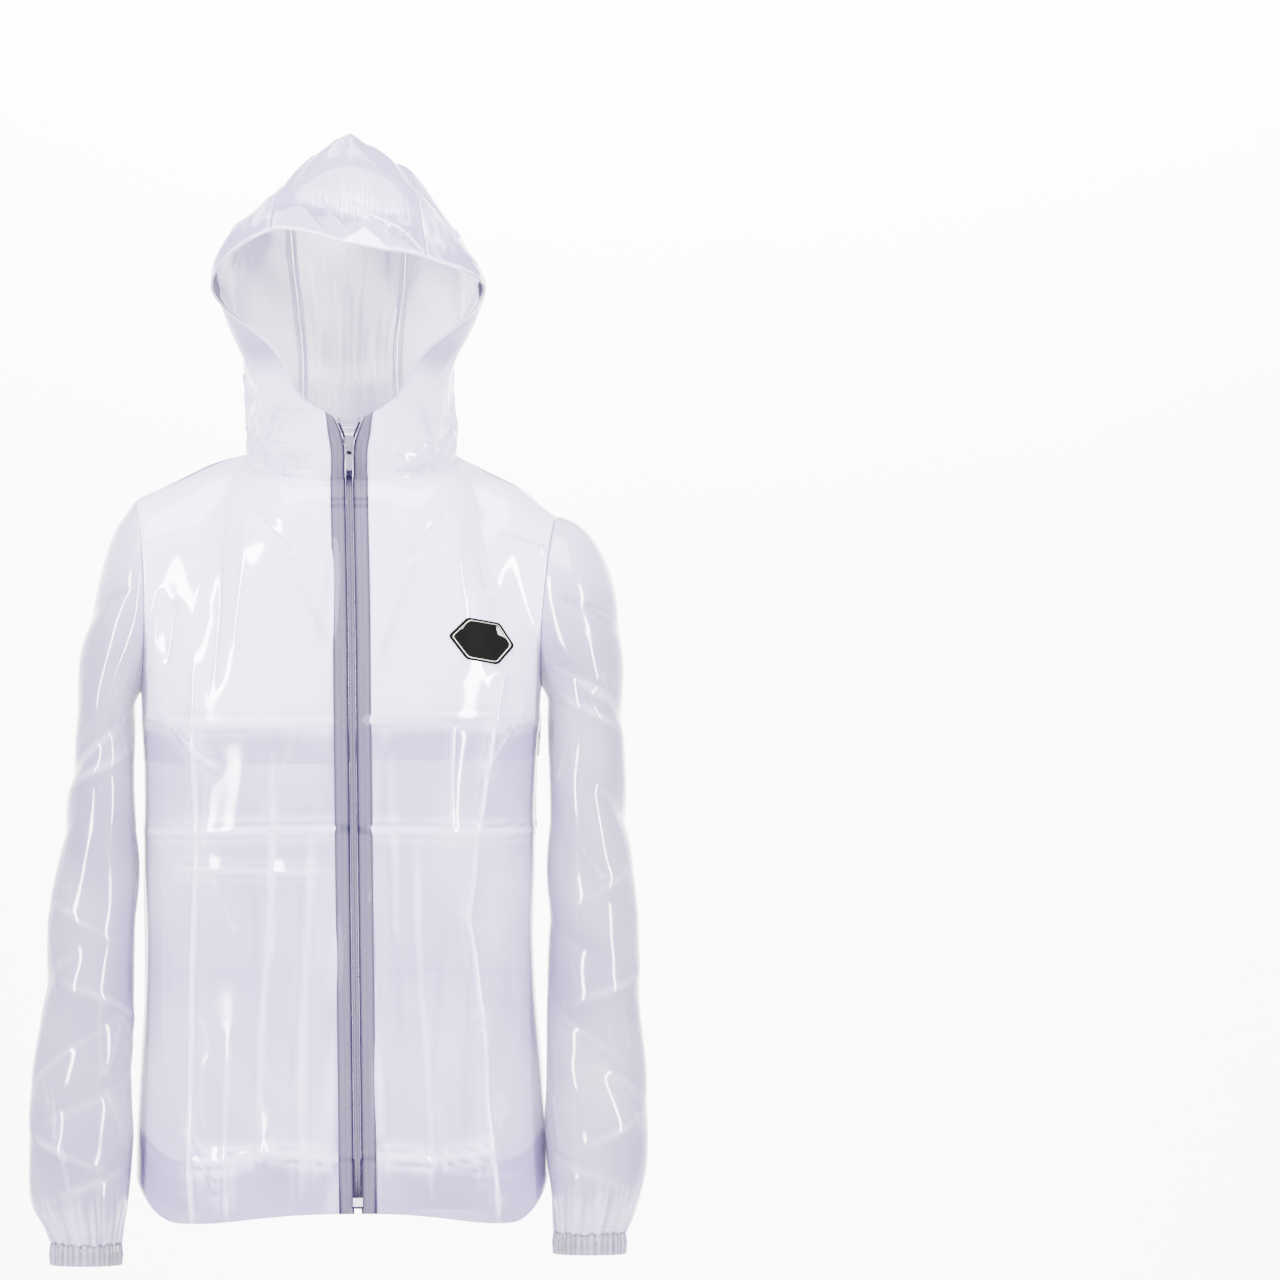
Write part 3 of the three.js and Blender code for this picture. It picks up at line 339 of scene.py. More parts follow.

# %% [markdown]
# A welded seam is a narrow bar where two films have melted together.
# It is clearer and denser than the film beside it, so each panel carries a value
# called weld, from 0 to 1, and another called crease, that its material reads:
# creases, paler partly as the film's own whitening and partly as painted highlight,
# and places painted paler as lit.

# %% Shells of film
def edge_distance(points, edge):
    """How far each point lies from one edge of its grid, along the film."""
    if edge in ("top", "bottom"):
        steps = np.linalg.norm(np.diff(points, axis=0), axis=-1)
        far = np.concatenate([np.zeros((1, points.shape[1])), np.cumsum(steps, axis=0)])
        return far if edge == "top" else far[-1:] - far
    steps = np.linalg.norm(np.diff(points, axis=1), axis=-1)
    far = np.concatenate([np.zeros((points.shape[0], 1)), np.cumsum(steps, axis=1)], axis=1)
    return far if edge == "start" else far[:, -1:] - far


def bar(distance, start, wide):
    """1 inside a bar that starts at a distance from an edge, and 0 outside it."""
    return ease((distance - start) / 1.5 + 0.5) * ease((start + wide - distance) / 1.5 + 0.5)


def trim(points, edges, by=SEAM_TRIM):
    """Pulls the named edges of a grid back along itself."""
    points = points.copy()
    for edge in edges:
        line, inner = {
            "top": (np.s_[0], np.s_[1]),
            "bottom": (np.s_[-1], np.s_[-2]),
            "start": (np.s_[:, 0], np.s_[:, 1]),
            "end": (np.s_[:, -1], np.s_[:, -2]),
        }[edge]
        run = points[inner] - points[line]
        points[line] += by * run / np.linalg.norm(run, axis=-1, keepdims=True)
    return points


def grid_quads(rows, columns, wraps):
    """The corners of each cell of a grid, as four vertex numbers."""
    number = np.arange(rows * columns).reshape(rows, columns)
    number = np.concatenate([number, number[:, :1]], axis=1) if wraps else number
    return np.stack([number[:-1, :-1], number[1:, :-1], number[1:, 1:], number[:-1, 1:]], axis=-1).reshape(-1, 4)


def rim_lines(rows, columns, wraps):
    """The vertex numbers round a grid's open edges, each list in order."""
    number = np.arange(rows * columns).reshape(rows, columns)
    if wraps:
        return [np.append(number[0], number[0, 0]), np.append(number[-1, ::-1], number[-1, -1])]
    ring = [number[0, :-1], number[:-1, -1], number[-1, :0:-1], number[:0:-1, 0], number[0, :1]]
    return [np.concatenate(ring)]


def new_object(name, points, faces, flat_faces=0, uv=None, values=None):
    """A mesh object from points in millimetres; the last flat_faces of its faces are flat."""
    mesh = bpy.data.meshes.new(name)
    mesh.from_pydata((points * MM).tolist(), [], faces)
    smooth = np.ones(len(mesh.polygons), bool)
    if flat_faces:
        smooth[-flat_faces:] = False
    mesh.polygons.foreach_set("use_smooth", smooth)
    for key, value in (values or {}).items():
        mesh.attributes.new(key, "FLOAT", "POINT").data.foreach_set("value", value.astype(np.float32))
    if uv is not None:
        corner = np.zeros(len(mesh.loops), np.int32)
        mesh.loops.foreach_get("vertex_index", corner)
        mesh.uv_layers.new(name="film").data.foreach_set("uv", uv[corner].astype(np.float32).ravel())
    mesh.validate()
    mesh.update()
    thing = bpy.data.objects.new(name, mesh)
    bpy.context.scene.collection.objects.link(thing)
    return thing


def milk_value(points):
    """How milky the film is, from 0 to 1: a sum of slow waves in all three directions."""
    x, y, z = (points[..., k] for k in range(3))
    waves = np.sin(x * 0.047 + 1.1 * np.sin(z * 0.019)) + np.sin(z * 0.038 + 1.3 * np.sin(x * 0.026 + y * 0.03))
    waves += 0.7 * np.sin(x * 0.021 - z * 0.027 + y * 0.04 + 2) + 0.4 * np.sin(x * 0.11 + z * 0.083)
    return np.clip(0.5 + waves / 5, 0, 1)


def shell(name, points, wraps=False, thick=FILM, weld=None, crease=None, middle=(0, 0)):
    """A closed shell: the grid, the same grid moved in by thick along its normals, and a rim."""
    rows, columns = points.shape[:2]
    normals = outward(points, wraps, middle)
    outer, inner = points.reshape(-1, 3), (points - thick * normals).reshape(-1, 3)
    quads = grid_quads(rows, columns, wraps)
    facing = np.cross(outer[quads[:, 1]] - outer[quads[:, 0]], outer[quads[:, 3]] - outer[quads[:, 0]])
    if (facing * normals.reshape(-1, 3)[quads[:, 0]]).sum() < 0:
        quads = quads[:, ::-1]
    count = len(outer)
    rims = []
    for line in rim_lines(rows, columns, wraps):
        a, b = line[:-1], line[1:]
        rims.append(np.stack([a, b, b + count, a + count], axis=1))
    rims = np.concatenate(rims)
    mids = (outer[rims[:, 0]] + inner[rims[:, 0]]) / 2
    across = np.cross(outer[rims[:, 1]] - outer[rims[:, 0]], normals.reshape(-1, 3)[rims[:, 0]])
    inside = outer.mean(axis=0) - mids
    if (across * inside).sum() < 0:
        rims = rims[:, ::-1]
    faces = np.concatenate([quads, quads[:, ::-1] + count, rims])
    zero = np.zeros((rows, columns))
    values = {
        "weld": zero if weld is None else weld,
        "crease": zero if crease is None else crease,
        "milk": milk_value(points),
    }
    twice = {key: np.tile(np.broadcast_to(v, (rows, columns)).ravel(), 2) for key, v in values.items()}
    u, v = edge_distance(points, "start"), edge_distance(points, "top")
    uv = np.tile(np.stack([u, v], axis=-1).reshape(-1, 2) * MM, (2, 1))
    twice["inner"] = np.repeat([0.0, 1.0], count)
    thing = new_object(name, np.concatenate([outer, inner]), faces.tolist(), len(rims), uv, twice)
    fix_winding(thing)
    return thing


def fix_winding(thing):
    """Turns a closed mesh's rim so that all its faces face out, by one consistent fill."""
    work = bmesh.new()
    work.from_mesh(thing.data)
    bmesh.ops.recalc_face_normals(work, faces=work.faces)
    work.to_mesh(thing.data)
    work.free()


def area_of(points):
    """The area of a grid's cells, in square metres."""
    a, b = points[1:, 1:] - points[:-1, :-1], points[1:, :-1] - points[:-1, 1:]
    return float(np.linalg.norm(np.cross(a, b), axis=-1).sum() / 2 * MM * MM)


def place(piece, node, body="coat"):
    """The piece takes its node's place: the node is hidden, and the piece rides on the body."""
    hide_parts(node)
    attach(piece, body)


pieces = {}
print("a bar's middle:", bar(np.array(3.0), 1, 4))

# %% [markdown]
# Each front is cut in one piece from the hood's seam to the hem, and is closed by the zip.
# The film is creased where it was folded in its packet, and it hollows beside the armhole.

# %% The two fronts
FRONT_ROWS, FRONT_COLUMNS = 250, 96
BACK_COLUMNS = 96
# Painted light: above this fold the film is painted whiter, standing in for the brighter light on the chest.
CHEST_FOLD_Z = -218  # above this fold the film is whiter
HEM_FOLD = 45


def front_grid(side, rows=FRONT_ROWS, columns=FRONT_COLUMNS):
    """A front's points with its relief added, and the relief itself."""
    smooth = body_grid(side, -1, np.linspace(0, 1, columns), np.linspace(0, 2, rows))
    relief = body_relief(side, -1, smooth)
    return smooth + outward(smooth) * relief[..., None], relief


# how strongly a bend is painted paler: partly the film's own whitening, partly a painted highlight
WHITENING = 1.3


def crease_value(relief):
    """How sharply the relief bends, from 0 to 1: the film is painted paler there, partly its own whitening at a fold
    and partly a painted highlight.
    """
    bend = np.abs(np.gradient(np.gradient(relief, axis=1), axis=1))
    bend += np.abs(np.gradient(np.gradient(relief, axis=0), axis=0))
    return np.clip(bend * WHITENING - 0.14, 0, 0.65)


def paler_with_painted_light(crease, milk):
    """Paler with the first value, creases that are partly the film's own whitening and partly painted highlight, and
    with the second, places painted paler as lit; where both meet, a little less pale.
    """
    return np.maximum(crease, milk) - 0.55 * np.minimum(crease, milk)


fronts = {}
for side, name in SIDES.items():
    points, relief = front_grid(side)
    fronts[side] = points
    weld = bar(edge_distance(points, "end"), 0, 6) + bar(edge_distance(points, "top"), 0, 6)
    weld += bar(edge_distance(points, "bottom"), HEM_FOLD - 3, 3) + bar(edge_distance(points, "start"), 0, 12)
    # Painted light: the chest is painted whiter, and the creases paler, partly the film's own whitening and partly
    # painted highlight.
    white = paler_with_painted_light(crease_value(relief), 0.78 * ease((points[..., 2] - CHEST_FOLD_Z) / 3))
    piece = shell(f"front_{name}_film", trim(points, ["top", "end"]), weld=np.clip(weld, 0, 1), crease=white)
    place(piece, f"front_{name}")
    pieces[f"front_{name}"] = piece

# %% [markdown]
# The back is cut in two. The upper part hangs free over the lower one, as a vent,
# and a small snap holds the middle of its edge.

# %% The back
YOKE_ROWS, LOWER_ROWS = 110, 165
FLAP_EDGE = 1.142  # the flap ends this far down
LOWER_START = 1.082  # the lower back starts here, under the flap
FLAP_FOLD = 19
FLAP_LIFT = 1.8


def back_grid(down):
    """Both halves of the back in one grid, from the left side seam to the right one."""
    across = np.linspace(0, 1, BACK_COLUMNS)
    left = body_grid(1, 1, across[::-1], down)
    right = body_grid(-1, 1, across[1:], down)
    smooth = np.concatenate([left, right], axis=1)
    relief = body_relief(1, 1, smooth)
    return smooth + outward(smooth) * relief[..., None], relief


def flap_lift(down):
    """The flap's free end stands off the lower back."""
    return FLAP_LIFT * ease((down - 1.03) / 0.05)


yoke_down = np.linspace(0, FLAP_EDGE, YOKE_ROWS)
yoke, yoke_relief = back_grid(yoke_down)
yoke = yoke + outward(yoke) * flap_lift(yoke_down)[:, None, None]
weld = bar(edge_distance(yoke, "start"), 0, 6) + bar(edge_distance(yoke, "end"), 0, 6)
weld += bar(edge_distance(yoke, "top"), 0, 6) + bar(edge_distance(yoke, "bottom"), FLAP_FOLD - 3, 4)
piece = shell("back_yoke_film", trim(yoke, ["top", "start", "end"]), weld=np.clip(weld, 0, 1),
              crease=crease_value(yoke_relief))
place(piece, "back_yoke")
print("yoke:", edge_distance(yoke, "start")[:, -1].max(), edge_distance(yoke, "top")[-1].max(), area_of(yoke))

lower, lower_relief = back_grid(np.linspace(LOWER_START, 2, LOWER_ROWS))
weld = bar(edge_distance(lower, "start"), 0, 6) + bar(edge_distance(lower, "end"), 0, 6)
weld += bar(edge_distance(lower, "bottom"), HEM_FOLD - 3, 3)
piece = shell("back_lower_film", trim(lower, ["start", "end"]), weld=np.clip(weld, 0, 1),
              crease=crease_value(lower_relief))
place(piece, "back_lower")
print("lower back:", edge_distance(lower, "start")[:, -1].max(), edge_distance(lower, "top")[-1].max(), area_of(lower))

# %% [markdown]
# The hem is the same film, folded inside and welded along its upper edge.

# %% The folded hems
def hem_band(points, name, node, columns=None):
    """The lowest part of a panel again, moved in by a film and a gap."""
    far = edge_distance(points, "bottom")[:, points.shape[1] // 2]
    first = int(np.argmin(np.abs(far - HEM_FOLD)))
    part = points[first:]
    inside = part - outward(part) * (FILM + 1.0)
    piece = shell(name, inside, weld=np.full(part.shape[:2], 0.3))
    place(piece, node)
    return piece


for side, name in SIDES.items():
    hem_band(trim(fronts[side], ["end"], 1.5), f"hem_front_{name}_film", f"hem_band_front_{name}")
hem_band(trim(lower, ["start", "end"], 1.5), "hem_back_film", "hem_band_back")
print("hem folded up by", HEM_FOLD, "mm")

# %% [markdown]
# Each sleeve is one piece, sewn into the armhole, and it hangs a little in front of the body.
# The film bunches at the elbow, and its end is drawn in by the elastic of the cuff.

# %% The sleeves
SLEEVE = {
    -1: np.array([
        (-206, -222, -4, 26, 76), (-260, -224, -8, 30, 71), (-342, -229, -16, 36.5, 67),
        (-468, -238, -28, 42.5, 63), (-558, -243, -38, 46, 61), (-620, -244, -44, 46, 58),
        (-652, -243.5, -48, 44, 52), (-674, -240, -50, 36, 42), (-688, -238.5, -51, 32, 35),
    ]),
    1: np.array([
        (-202, 213, -4, 34, 76), (-260, 214, -8, 36.5, 71), (-342, 217, -16, 38.5, 67),
        (-468, 220, -28, 43.5, 63), (-558, 222, -38, 46, 61), (-612, 222.5, -43, 45, 58),
        (-642, 221, -46, 41, 51), (-664, 218, -48, 36.5, 42), (-679, 215.5, -49, 32.5, 35),
    ]),
}
SLEEVE_POWER = 0.9
CAP_REACH, CAP_DROP = {-1: 18, 1: 50}, {-1: 22, 1: 10}
HEAD_ROWS, TUBE_ROWS, SLEEVE_COLUMNS = 44, 190, 104
SLEEVE_GIRTH = 330  # the sleeve's mean way round

# Troughs and ridges: side, height, place round in degrees, size out, how tall, how wide, slope
SLEEVE_FOLDS = [
    (-1, -112, 30, -4.0, 12, 50, 0.35), (-1, -245, 60, -6.0, 10, 70, 0.35),
    (-1, -262, 80, 3.0, 7, 60, 0.30), (-1, -330, 330, -5.0, 13, 60, 0.35),
    (-1, -395, 70, 2.5, 8, 50, -0.40), (-1, -440, 40, -5.0, 15, 55, 0.35),
    (-1, -470, 120, 3.0, 8, 60, -0.30), (-1, -520, 60, -2.5, 9, 60, 0.50),
    (-1, -560, 100, -5.0, 12, 60, 0.35), (-1, -604, 70, 3.0, 8, 50, -0.40),
    (-1, -632, 110, -3.0, 8, 50, 0.30), (-1, -300, 240, -4.0, 12, 60, 0.30),
    (-1, -420, 250, -4.0, 13, 60, -0.35), (-1, -540, 260, -4.0, 12, 60, 0.35),
    (1, -122, 35, -4.0, 12, 50, 0.35), (1, -192, 70, -5.0, 10, 60, 0.35),
    (1, -208, 90, 3.0, 7, 60, 0.35), (1, -300, 20, -6.0, 12, 60, 0.35),
    (1, -365, 70, 2.6, 8, 50, -0.45), (1, -420, 120, -5.0, 15, 55, 0.35),
    (1, -455, 60, 3.0, 8, 60, -0.30), (1, -500, 100, -2.5, 9, 60, 0.50),
    (1, -540, 60, -5.0, 12, 60, 0.35), (1, -590, 80, 3.0, 8, 50, -0.40),
    (1, -622, 110, -3.0, 8, 50, 0.30), (1, -290, 240, -4.0, 12, 60, 0.30),
    (1, -410, 250, -4.0, 13, 60, -0.35), (1, -530, 260, -4.0, 12, 60, 0.35),
]


def sleeve_ring(side, turn, z):
    """The sleeve's section at a height: an oval, a little squared off, round its own middle."""
    rows = SLEEVE[side]
    x, y, half, depth = (curve_at(rows[:, 0], rows[:, k], z) for k in (1, 2, 3, 4))
    wave = lambda value: np.sign(value) * np.abs(value) ** SLEEVE_POWER
    return xyz(x + side * half * wave(np.cos(turn)), y - depth * wave(np.sin(turn)), z)


def sleeve_head(side, around, along):
    """From the armhole, at along 0, to the sleeve's first ring, at along 1, by a Bezier curve."""
    turn = around * 2 * np.pi
    front = body_point(side, -1, np.ones(around.shape), np.clip(around * 2, 0, 1))
    back = body_point(side, 1, np.ones(around.shape), np.clip(2 - around * 2, 0, 1))
    start = np.where((around <= 0.5)[..., None], front, back)
    end = sleeve_ring(side, turn, np.full(turn.shape, SLEEVE[side][0, 0]))
    outer = ((1 + np.cos(turn)) / 2) ** 1.5
    reach, drop = mix(2, CAP_REACH[side], outer), mix(5, CAP_DROP[side], outer)
    low = start + xyz(side * reach, -14 * np.sin(turn), -drop)
    high = end + xyz(0, 0, mix(6, 70, np.sqrt(outer)))
    return bezier(start, low, high, end, along)


HEAD_FULLNESS, HEAD_FULL_AT = {-1: 4, 1: 5}, {-1: -62, 1: -84}


def turn_away(degrees, place_round):
    """How many degrees apart two places round the sleeve are, the short way."""
    return (degrees - place_round + 540) % 360 - 180


def sleeve_relief(side, around, z):
    """Folds across the sleeve, small creases, and gathers that grow towards the cuff."""
    degrees = around * 360
    total = np.zeros(z.shape)
    for fold_side, height, place_round, size, tall, wide, slope in SLEEVE_FOLDS:
        if fold_side == side:
            away = turn_away(degrees, place_round)
            off = (z - height - away * slope) / tall
            total += size * np.exp(-(np.sqrt(off**2 + 0.6) - 0.775)) * bell(away, wide)
    u = (around - 0.25 + 0.5) % 1 * SLEEVE_GIRTH - SLEEVE_GIRTH / 2
    fade = ease((SLEEVE_GIRTH / 2 - np.abs(u)) / 30)
    extra = small_creases(31 + side, 24, (-140, 140), (-640, -60), 0.7, 0.4, (20, 90), (3, 6))
    end = SLEEVE[side][-1, 0]
    turn = around * 2 * np.pi
    waves = np.sin(turn * 19 + 0.5 * side) + 0.5 * np.sin(turn * 31 + 1.3) + 0.4 * np.sin(turn * 11)
    gathers = 1.5 * waves * ease((end + 62 - z) / 62) ** 1.4
    swell = 1.2 * np.sin(turn * 2 + z * 0.03) + 0.8 * np.sin(turn * 3 - z * 0.05)
    head = HEAD_FULLNESS[side] * bell(turn_away(degrees, 0), 50) * bell(z - HEAD_FULL_AT[side], 46)
    return total + fade * creases(u, z, extra) + gathers + swell + head


sleeves = {}
for side, name in SIDES.items():
    around = np.linspace(0, 1, SLEEVE_COLUMNS + 1)[:-1]
    along_all, around_all = np.meshgrid(np.linspace(0, 1, HEAD_ROWS + 1)[:-1], around, indexing="ij")
    head = sleeve_head(side, around_all, along_all)
    top, end = SLEEVE[side][0, 0], SLEEVE[side][-1, 0]
    z_all, around_tube = np.meshgrid(mix(top, end, np.linspace(0, 1, TUBE_ROWS)), around, indexing="ij")
    tube = sleeve_ring(side, around_tube * 2 * np.pi, z_all)
    smooth = np.concatenate([head, tube])
    middle = (SLEEVE[side][2, 1], SLEEVE[side][2, 2])
    normals = outward(smooth, True, middle)
    places_round = np.concatenate([around_all, around_tube])
    relief = sleeve_relief(side, places_round, smooth[..., 2])
    relief *= ease(edge_distance(smooth, "top") / 30)
    points = smooth + normals * relief[..., None]
    sleeves[side] = points
    weld = bar(edge_distance(points, "top"), 0, 5) + bar(edge_distance(points, "bottom"), 0, 4)
    # Painted light: each sleeve is painted paler towards its head, by the shoulder, and its creases a little paler,
    # partly painted highlight.
    white = paler_with_painted_light(0.6 * crease_value(relief), 0.5 * ease((points[..., 2] + 200) / 170))
    piece = shell(f"sleeve_{name}_film", trim(points, ["top"]), True, weld=np.clip(weld, 0, 1),
                  crease=white, middle=middle)
    place(piece, f"sleeve_{name}")

# %% [markdown]
# A cuff is a short band of film, sewn in small gathers onto a pinkish elastic.

# %% The cuffs
CUFF_HEIGHT = 19
CUFF_ROWS, CUFF_COLUMNS = 18, 288
CUFF_GATHERS = 38

for side, name in SIDES.items():
    end = SLEEVE[side][-1]
    share, around = np.meshgrid(np.linspace(0, 1, CUFF_ROWS), np.linspace(0, 1, CUFF_COLUMNS + 1)[:-1], indexing="ij")
    turn = around * 2 * np.pi
    ring = sleeve_ring(side, turn, np.full(turn.shape, end[0]))
    wave = np.sin(turn * CUFF_GATHERS + 0.8 * np.sin(turn * 3)) + 0.5 * np.sin(turn * 23 + 2)
    stitched = 1 - 0.45 * (bell(share - 0.28, 0.07) + bell(share - 0.72, 0.07))
    out = 0.8 * wave * stitched * mix(0.5, 1, ease(share * 4)) + 0.8 * np.sin(share * np.pi)
    spoke = ring[..., :2] - end[1:3]
    ring[..., :2] += out[..., None] * spoke / np.linalg.norm(spoke, axis=-1, keepdims=True)
    ring[..., 2] = end[0] - LAYER_GAP - CUFF_HEIGHT * share
    # Painted light and shade: the value is higher on each gather's ridge, which is painted paler, and lower in its
    # groove, which is painted darker.
    piece = shell(f"cuff_{name}_gathered", ring, True, 0.9, weld=bell(share - 0.5, 0.4),
                  crease=np.clip(wave * 0.5 + 0.3, 0, 1), middle=end[1:3])
    place(piece, f"cuff_{name}")

# %% [markdown]
# The hood has a middle panel from the brow to the nape and a panel on each side.
# A casing along the face opening draws it up at the brow, and the nape is gathered too.

# %% The hood's form
HOOD_ARCHES = np.array([
    [(0, -114, 211), (70, -108, 210), (122, -84, 172), (68, -96, 116), (44, -98, 74), (18, -86, 58)],
    [(0, -88, 241), (66, -84, 238), (119, -52, 186), (92, -62, 108), (56, -82, 56), (12, -84, 46)],
    [(0, -45, 286), (60, -45, 264), (109, -14, 188), (93, -30, 94), (68, -68, 40), (7.4, -83.4, 34)],
    [(0, 8, 308), (56, 12, 276), (101, 26, 188), (92, 4, 84), (73, -58, 29), (6, -83, 23)],
    [(0, 90, 254), (54, 80, 238), (90, 62, 162), (93, 26, 72), (74, -52, 20), (6, -82, 13)],
    [(0, 106, 128), (44, 98, 122), (84, 58, 94), (95, 16, 50), (70, -52, 13), (6, -79.5, 6)],
], float)
HOOD_NECK_ANGLES = [180, 152, 122, 88, 44, 3.6]
HOOD_LEAN, HOOD_TILT = 5, 12
HOOD_ROWS, HOOD_SIDE_COLUMNS, HOOD_CENTRE_COLUMNS = 130, 60, 90
CROWN_REACH = 0.2
CASING_END = 3 / 17  # the folded casing ends this far back
DRIFT_SHARE = np.array([0, 0, 0, 0, 0.6, 1])


def hood_stations(side):
    """The six stations of each arch on one side, leaned and tilted as the hood stands."""
    x, y, z = (HOOD_ARCHES[..., k] for k in range(3))
    lean = HOOD_LEAN * bell(z - 200, 120) * np.minimum(x / 60, 1)
    tilt = HOOD_TILT * bell(x - 66, 40) * bell(z - 212, 30)
    return xyz(side * x - lean * 0.5 + ZIP_DRIFT_TOP * DRIFT_SHARE, y, z - side * tilt)


def hood_points(reach, back):
    """Curves through the arches, which are curves through their stations; reach -1 is the right end."""
    right, left = hood_stations(-1), hood_stations(1)
    stations = np.concatenate([right[:, :0:-1], left], axis=1)
    arches = curve_at(np.arange(-5, 6) / 5, stations.transpose(1, 0, 2), reach)
    degrees = curve_at(np.arange(6) / 5, HOOD_NECK_ANGLES, np.abs(reach))
    neck = np.where((reach < 0)[:, None], neck_point(-1, degrees), neck_point(1, degrees))
    rows = np.concatenate([arches, neck[:, None]], axis=1).transpose(1, 0, 2)
    return curve_at(np.arange(7) / 6, rows, back)


# Lines on the hood: from one place to another, as millimetres round and back, height, width
HOOD_ROUND, HOOD_BACK = 420, 400
HOOD_CREASES = [
    (-6, 84, 62, 32, 3.2, 5), (62, 32, 80, 6, 2.0, 4), (-30, 150, 40, 250, 2.6, 6),
    (40, 250, 66, 330, 2.0, 5), (-70, 120, -20, 240, -2.8, 8), (90, 130, 30, 240, -2.8, 8),
    (-120, 60, -160, 220, 3.0, 7), (120, 60, 158, 230, 3.0, 7), (-180, 60, -220, 200, -3.4, 9),
    (178, 60, 222, 190, -3.4, 9), (-250, 80, -300, 260, 2.4, 7), (250, 80, 300, 260, 2.4, 7),
    (-150, 230, -60, 318, 2.2, 6), (150, 226, 64, 316, 2.2, 6), (-260, 240, -150, 350, 1.8, 6),
    (262, 240, 150, 350, 1.8, 6), (-100, 30, -96, 120, 2.0, 5), (104, 30, 98, 120, 2.0, 5),
    (-320, 60, -340, 240, 1.8, 6), (320, 60, 340, 240, 1.8, 6),
    (-372, 170, -352, 386, 2.6, 4), (-340, 150, -318, 380, -2.4, 4), (-316, 190, -290, 390, 2.8, 4),
    (-288, 160, -262, 386, 2.4, 4), (-262, 200, -232, 390, -2.6, 5), (-236, 190, -206, 384, 2.4, 4),
    (-352, 300, -262, 262, 2.0, 4), (-300, 330, -226, 300, 1.8, 4), (374, 190, 356, 386, 2.4, 4),
    (344, 160, 322, 384, 2.6, 4), (318, 200, 292, 390, -2.4, 4), (290, 170, 266, 386, 2.8, 4),
    (262, 190, 236, 388, 2.2, 4), (236, 200, 206, 384, -2.4, 5), (350, 290, 268, 256, 1.8, 4),
]


BROW_FOLD = [(-14, -2), (14, 40), (46, -2)]  # a corner of film turned over at the brow


def inside(u, v, corners):
    """1 inside a three-cornered place, fading to 0 at its sides: the least of three distances."""
    least = np.full(np.broadcast(u, v).shape, np.inf)
    for (u0, v0), (u1, v1) in zip(corners, corners[1:] + corners[:1]):
        off = ((u - u0) * (v0 - v1) + (v - v0) * (u1 - u0)) / np.hypot(u1 - u0, v1 - v0)
        least = np.minimum(least, -off)
    return ease(least / 2.5)


def hood_relief(reach, back):
    """Gathers at the brow and the nape, a fan of fine folds between them, and creases."""
    brow = bell(back - 0.2, 0.06) * bell(reach - 0.015, 0.12)
    nape = bell(back - 0.84, 0.05) * bell(reach, 0.15)
    fine = np.cos(reach * 300 + 2.5 * np.sin(reach * 40)) + 0.6 * np.cos(reach * 173 + 1)
    draw = fine * (0.8 * brow + 1.5 * nape) - 5 * brow - 6 * nape
    fan = bell(reach, 0.24) * ease((back - 0.3) / 0.25) * ease((1 - back) / 0.06)
    spread_out = reach / (0.35 + 0.65 * np.abs(back - 0.84))
    folds = fan * (0.5 * np.cos(spread_out * 62 + 1.2 * np.sin(back * 9)) + 0.25 * np.cos(spread_out * 101 + 2))
    u, v = reach * HOOD_ROUND, back * HOOD_BACK
    extra = small_creases(47, 46, (-380, 380), (60, 380), 1.1, 0.8)
    peak = 6 * np.exp(-np.abs(reach) / 0.05) * bell(back - 0.5, 0.13)
    flank = 6 * bell(reach + 0.34, 0.14) * bell(back - 0.2, 0.22) + 5 * bell(reach - 0.52, 0.10) * bell(back - 0.10, 0.16)
    old = np.stack([bell(reach * 1.6 + back - 0.78, 0.06) * bell(reach - 0.12, 0.3) * 4,
                    bell(reach * -1.3 + back - 0.7, 0.06) * bell(reach + 0.25, 0.25) * -3.5,
                    bell(np.abs(reach) - 0.62, 0.07) * bell(back - 0.3, 0.3) * -4]).sum(axis=0)
    swell = 1.2 * np.sin(u * 0.04) * np.sin(v * 0.03)
    quiet = ease((1 - back) / 0.07) * ease((1 - np.abs(reach)) / 0.06)
    return quiet * (draw + folds + creases(u, v, HOOD_CREASES) + creases(u, v, extra) + old + swell + peak + flank)


reaches = np.concatenate([
    np.linspace(-1, -CROWN_REACH, HOOD_SIDE_COLUMNS + 1),
    np.linspace(-CROWN_REACH, CROWN_REACH, HOOD_CENTRE_COLUMNS + 1)[1:-1],
    np.linspace(CROWN_REACH, 1, HOOD_SIDE_COLUMNS + 1),
])
backs = np.linspace(0, 1, HOOD_ROWS)
hood_smooth = hood_points(reaches, backs)
reach_all, back_all = np.meshgrid(reaches, backs)
hood_out = hood_relief(reach_all, back_all)
hood = hood_smooth + outward(hood_smooth) * hood_out[..., None]
print("hood peak height in mm:", hood[..., 2].max())

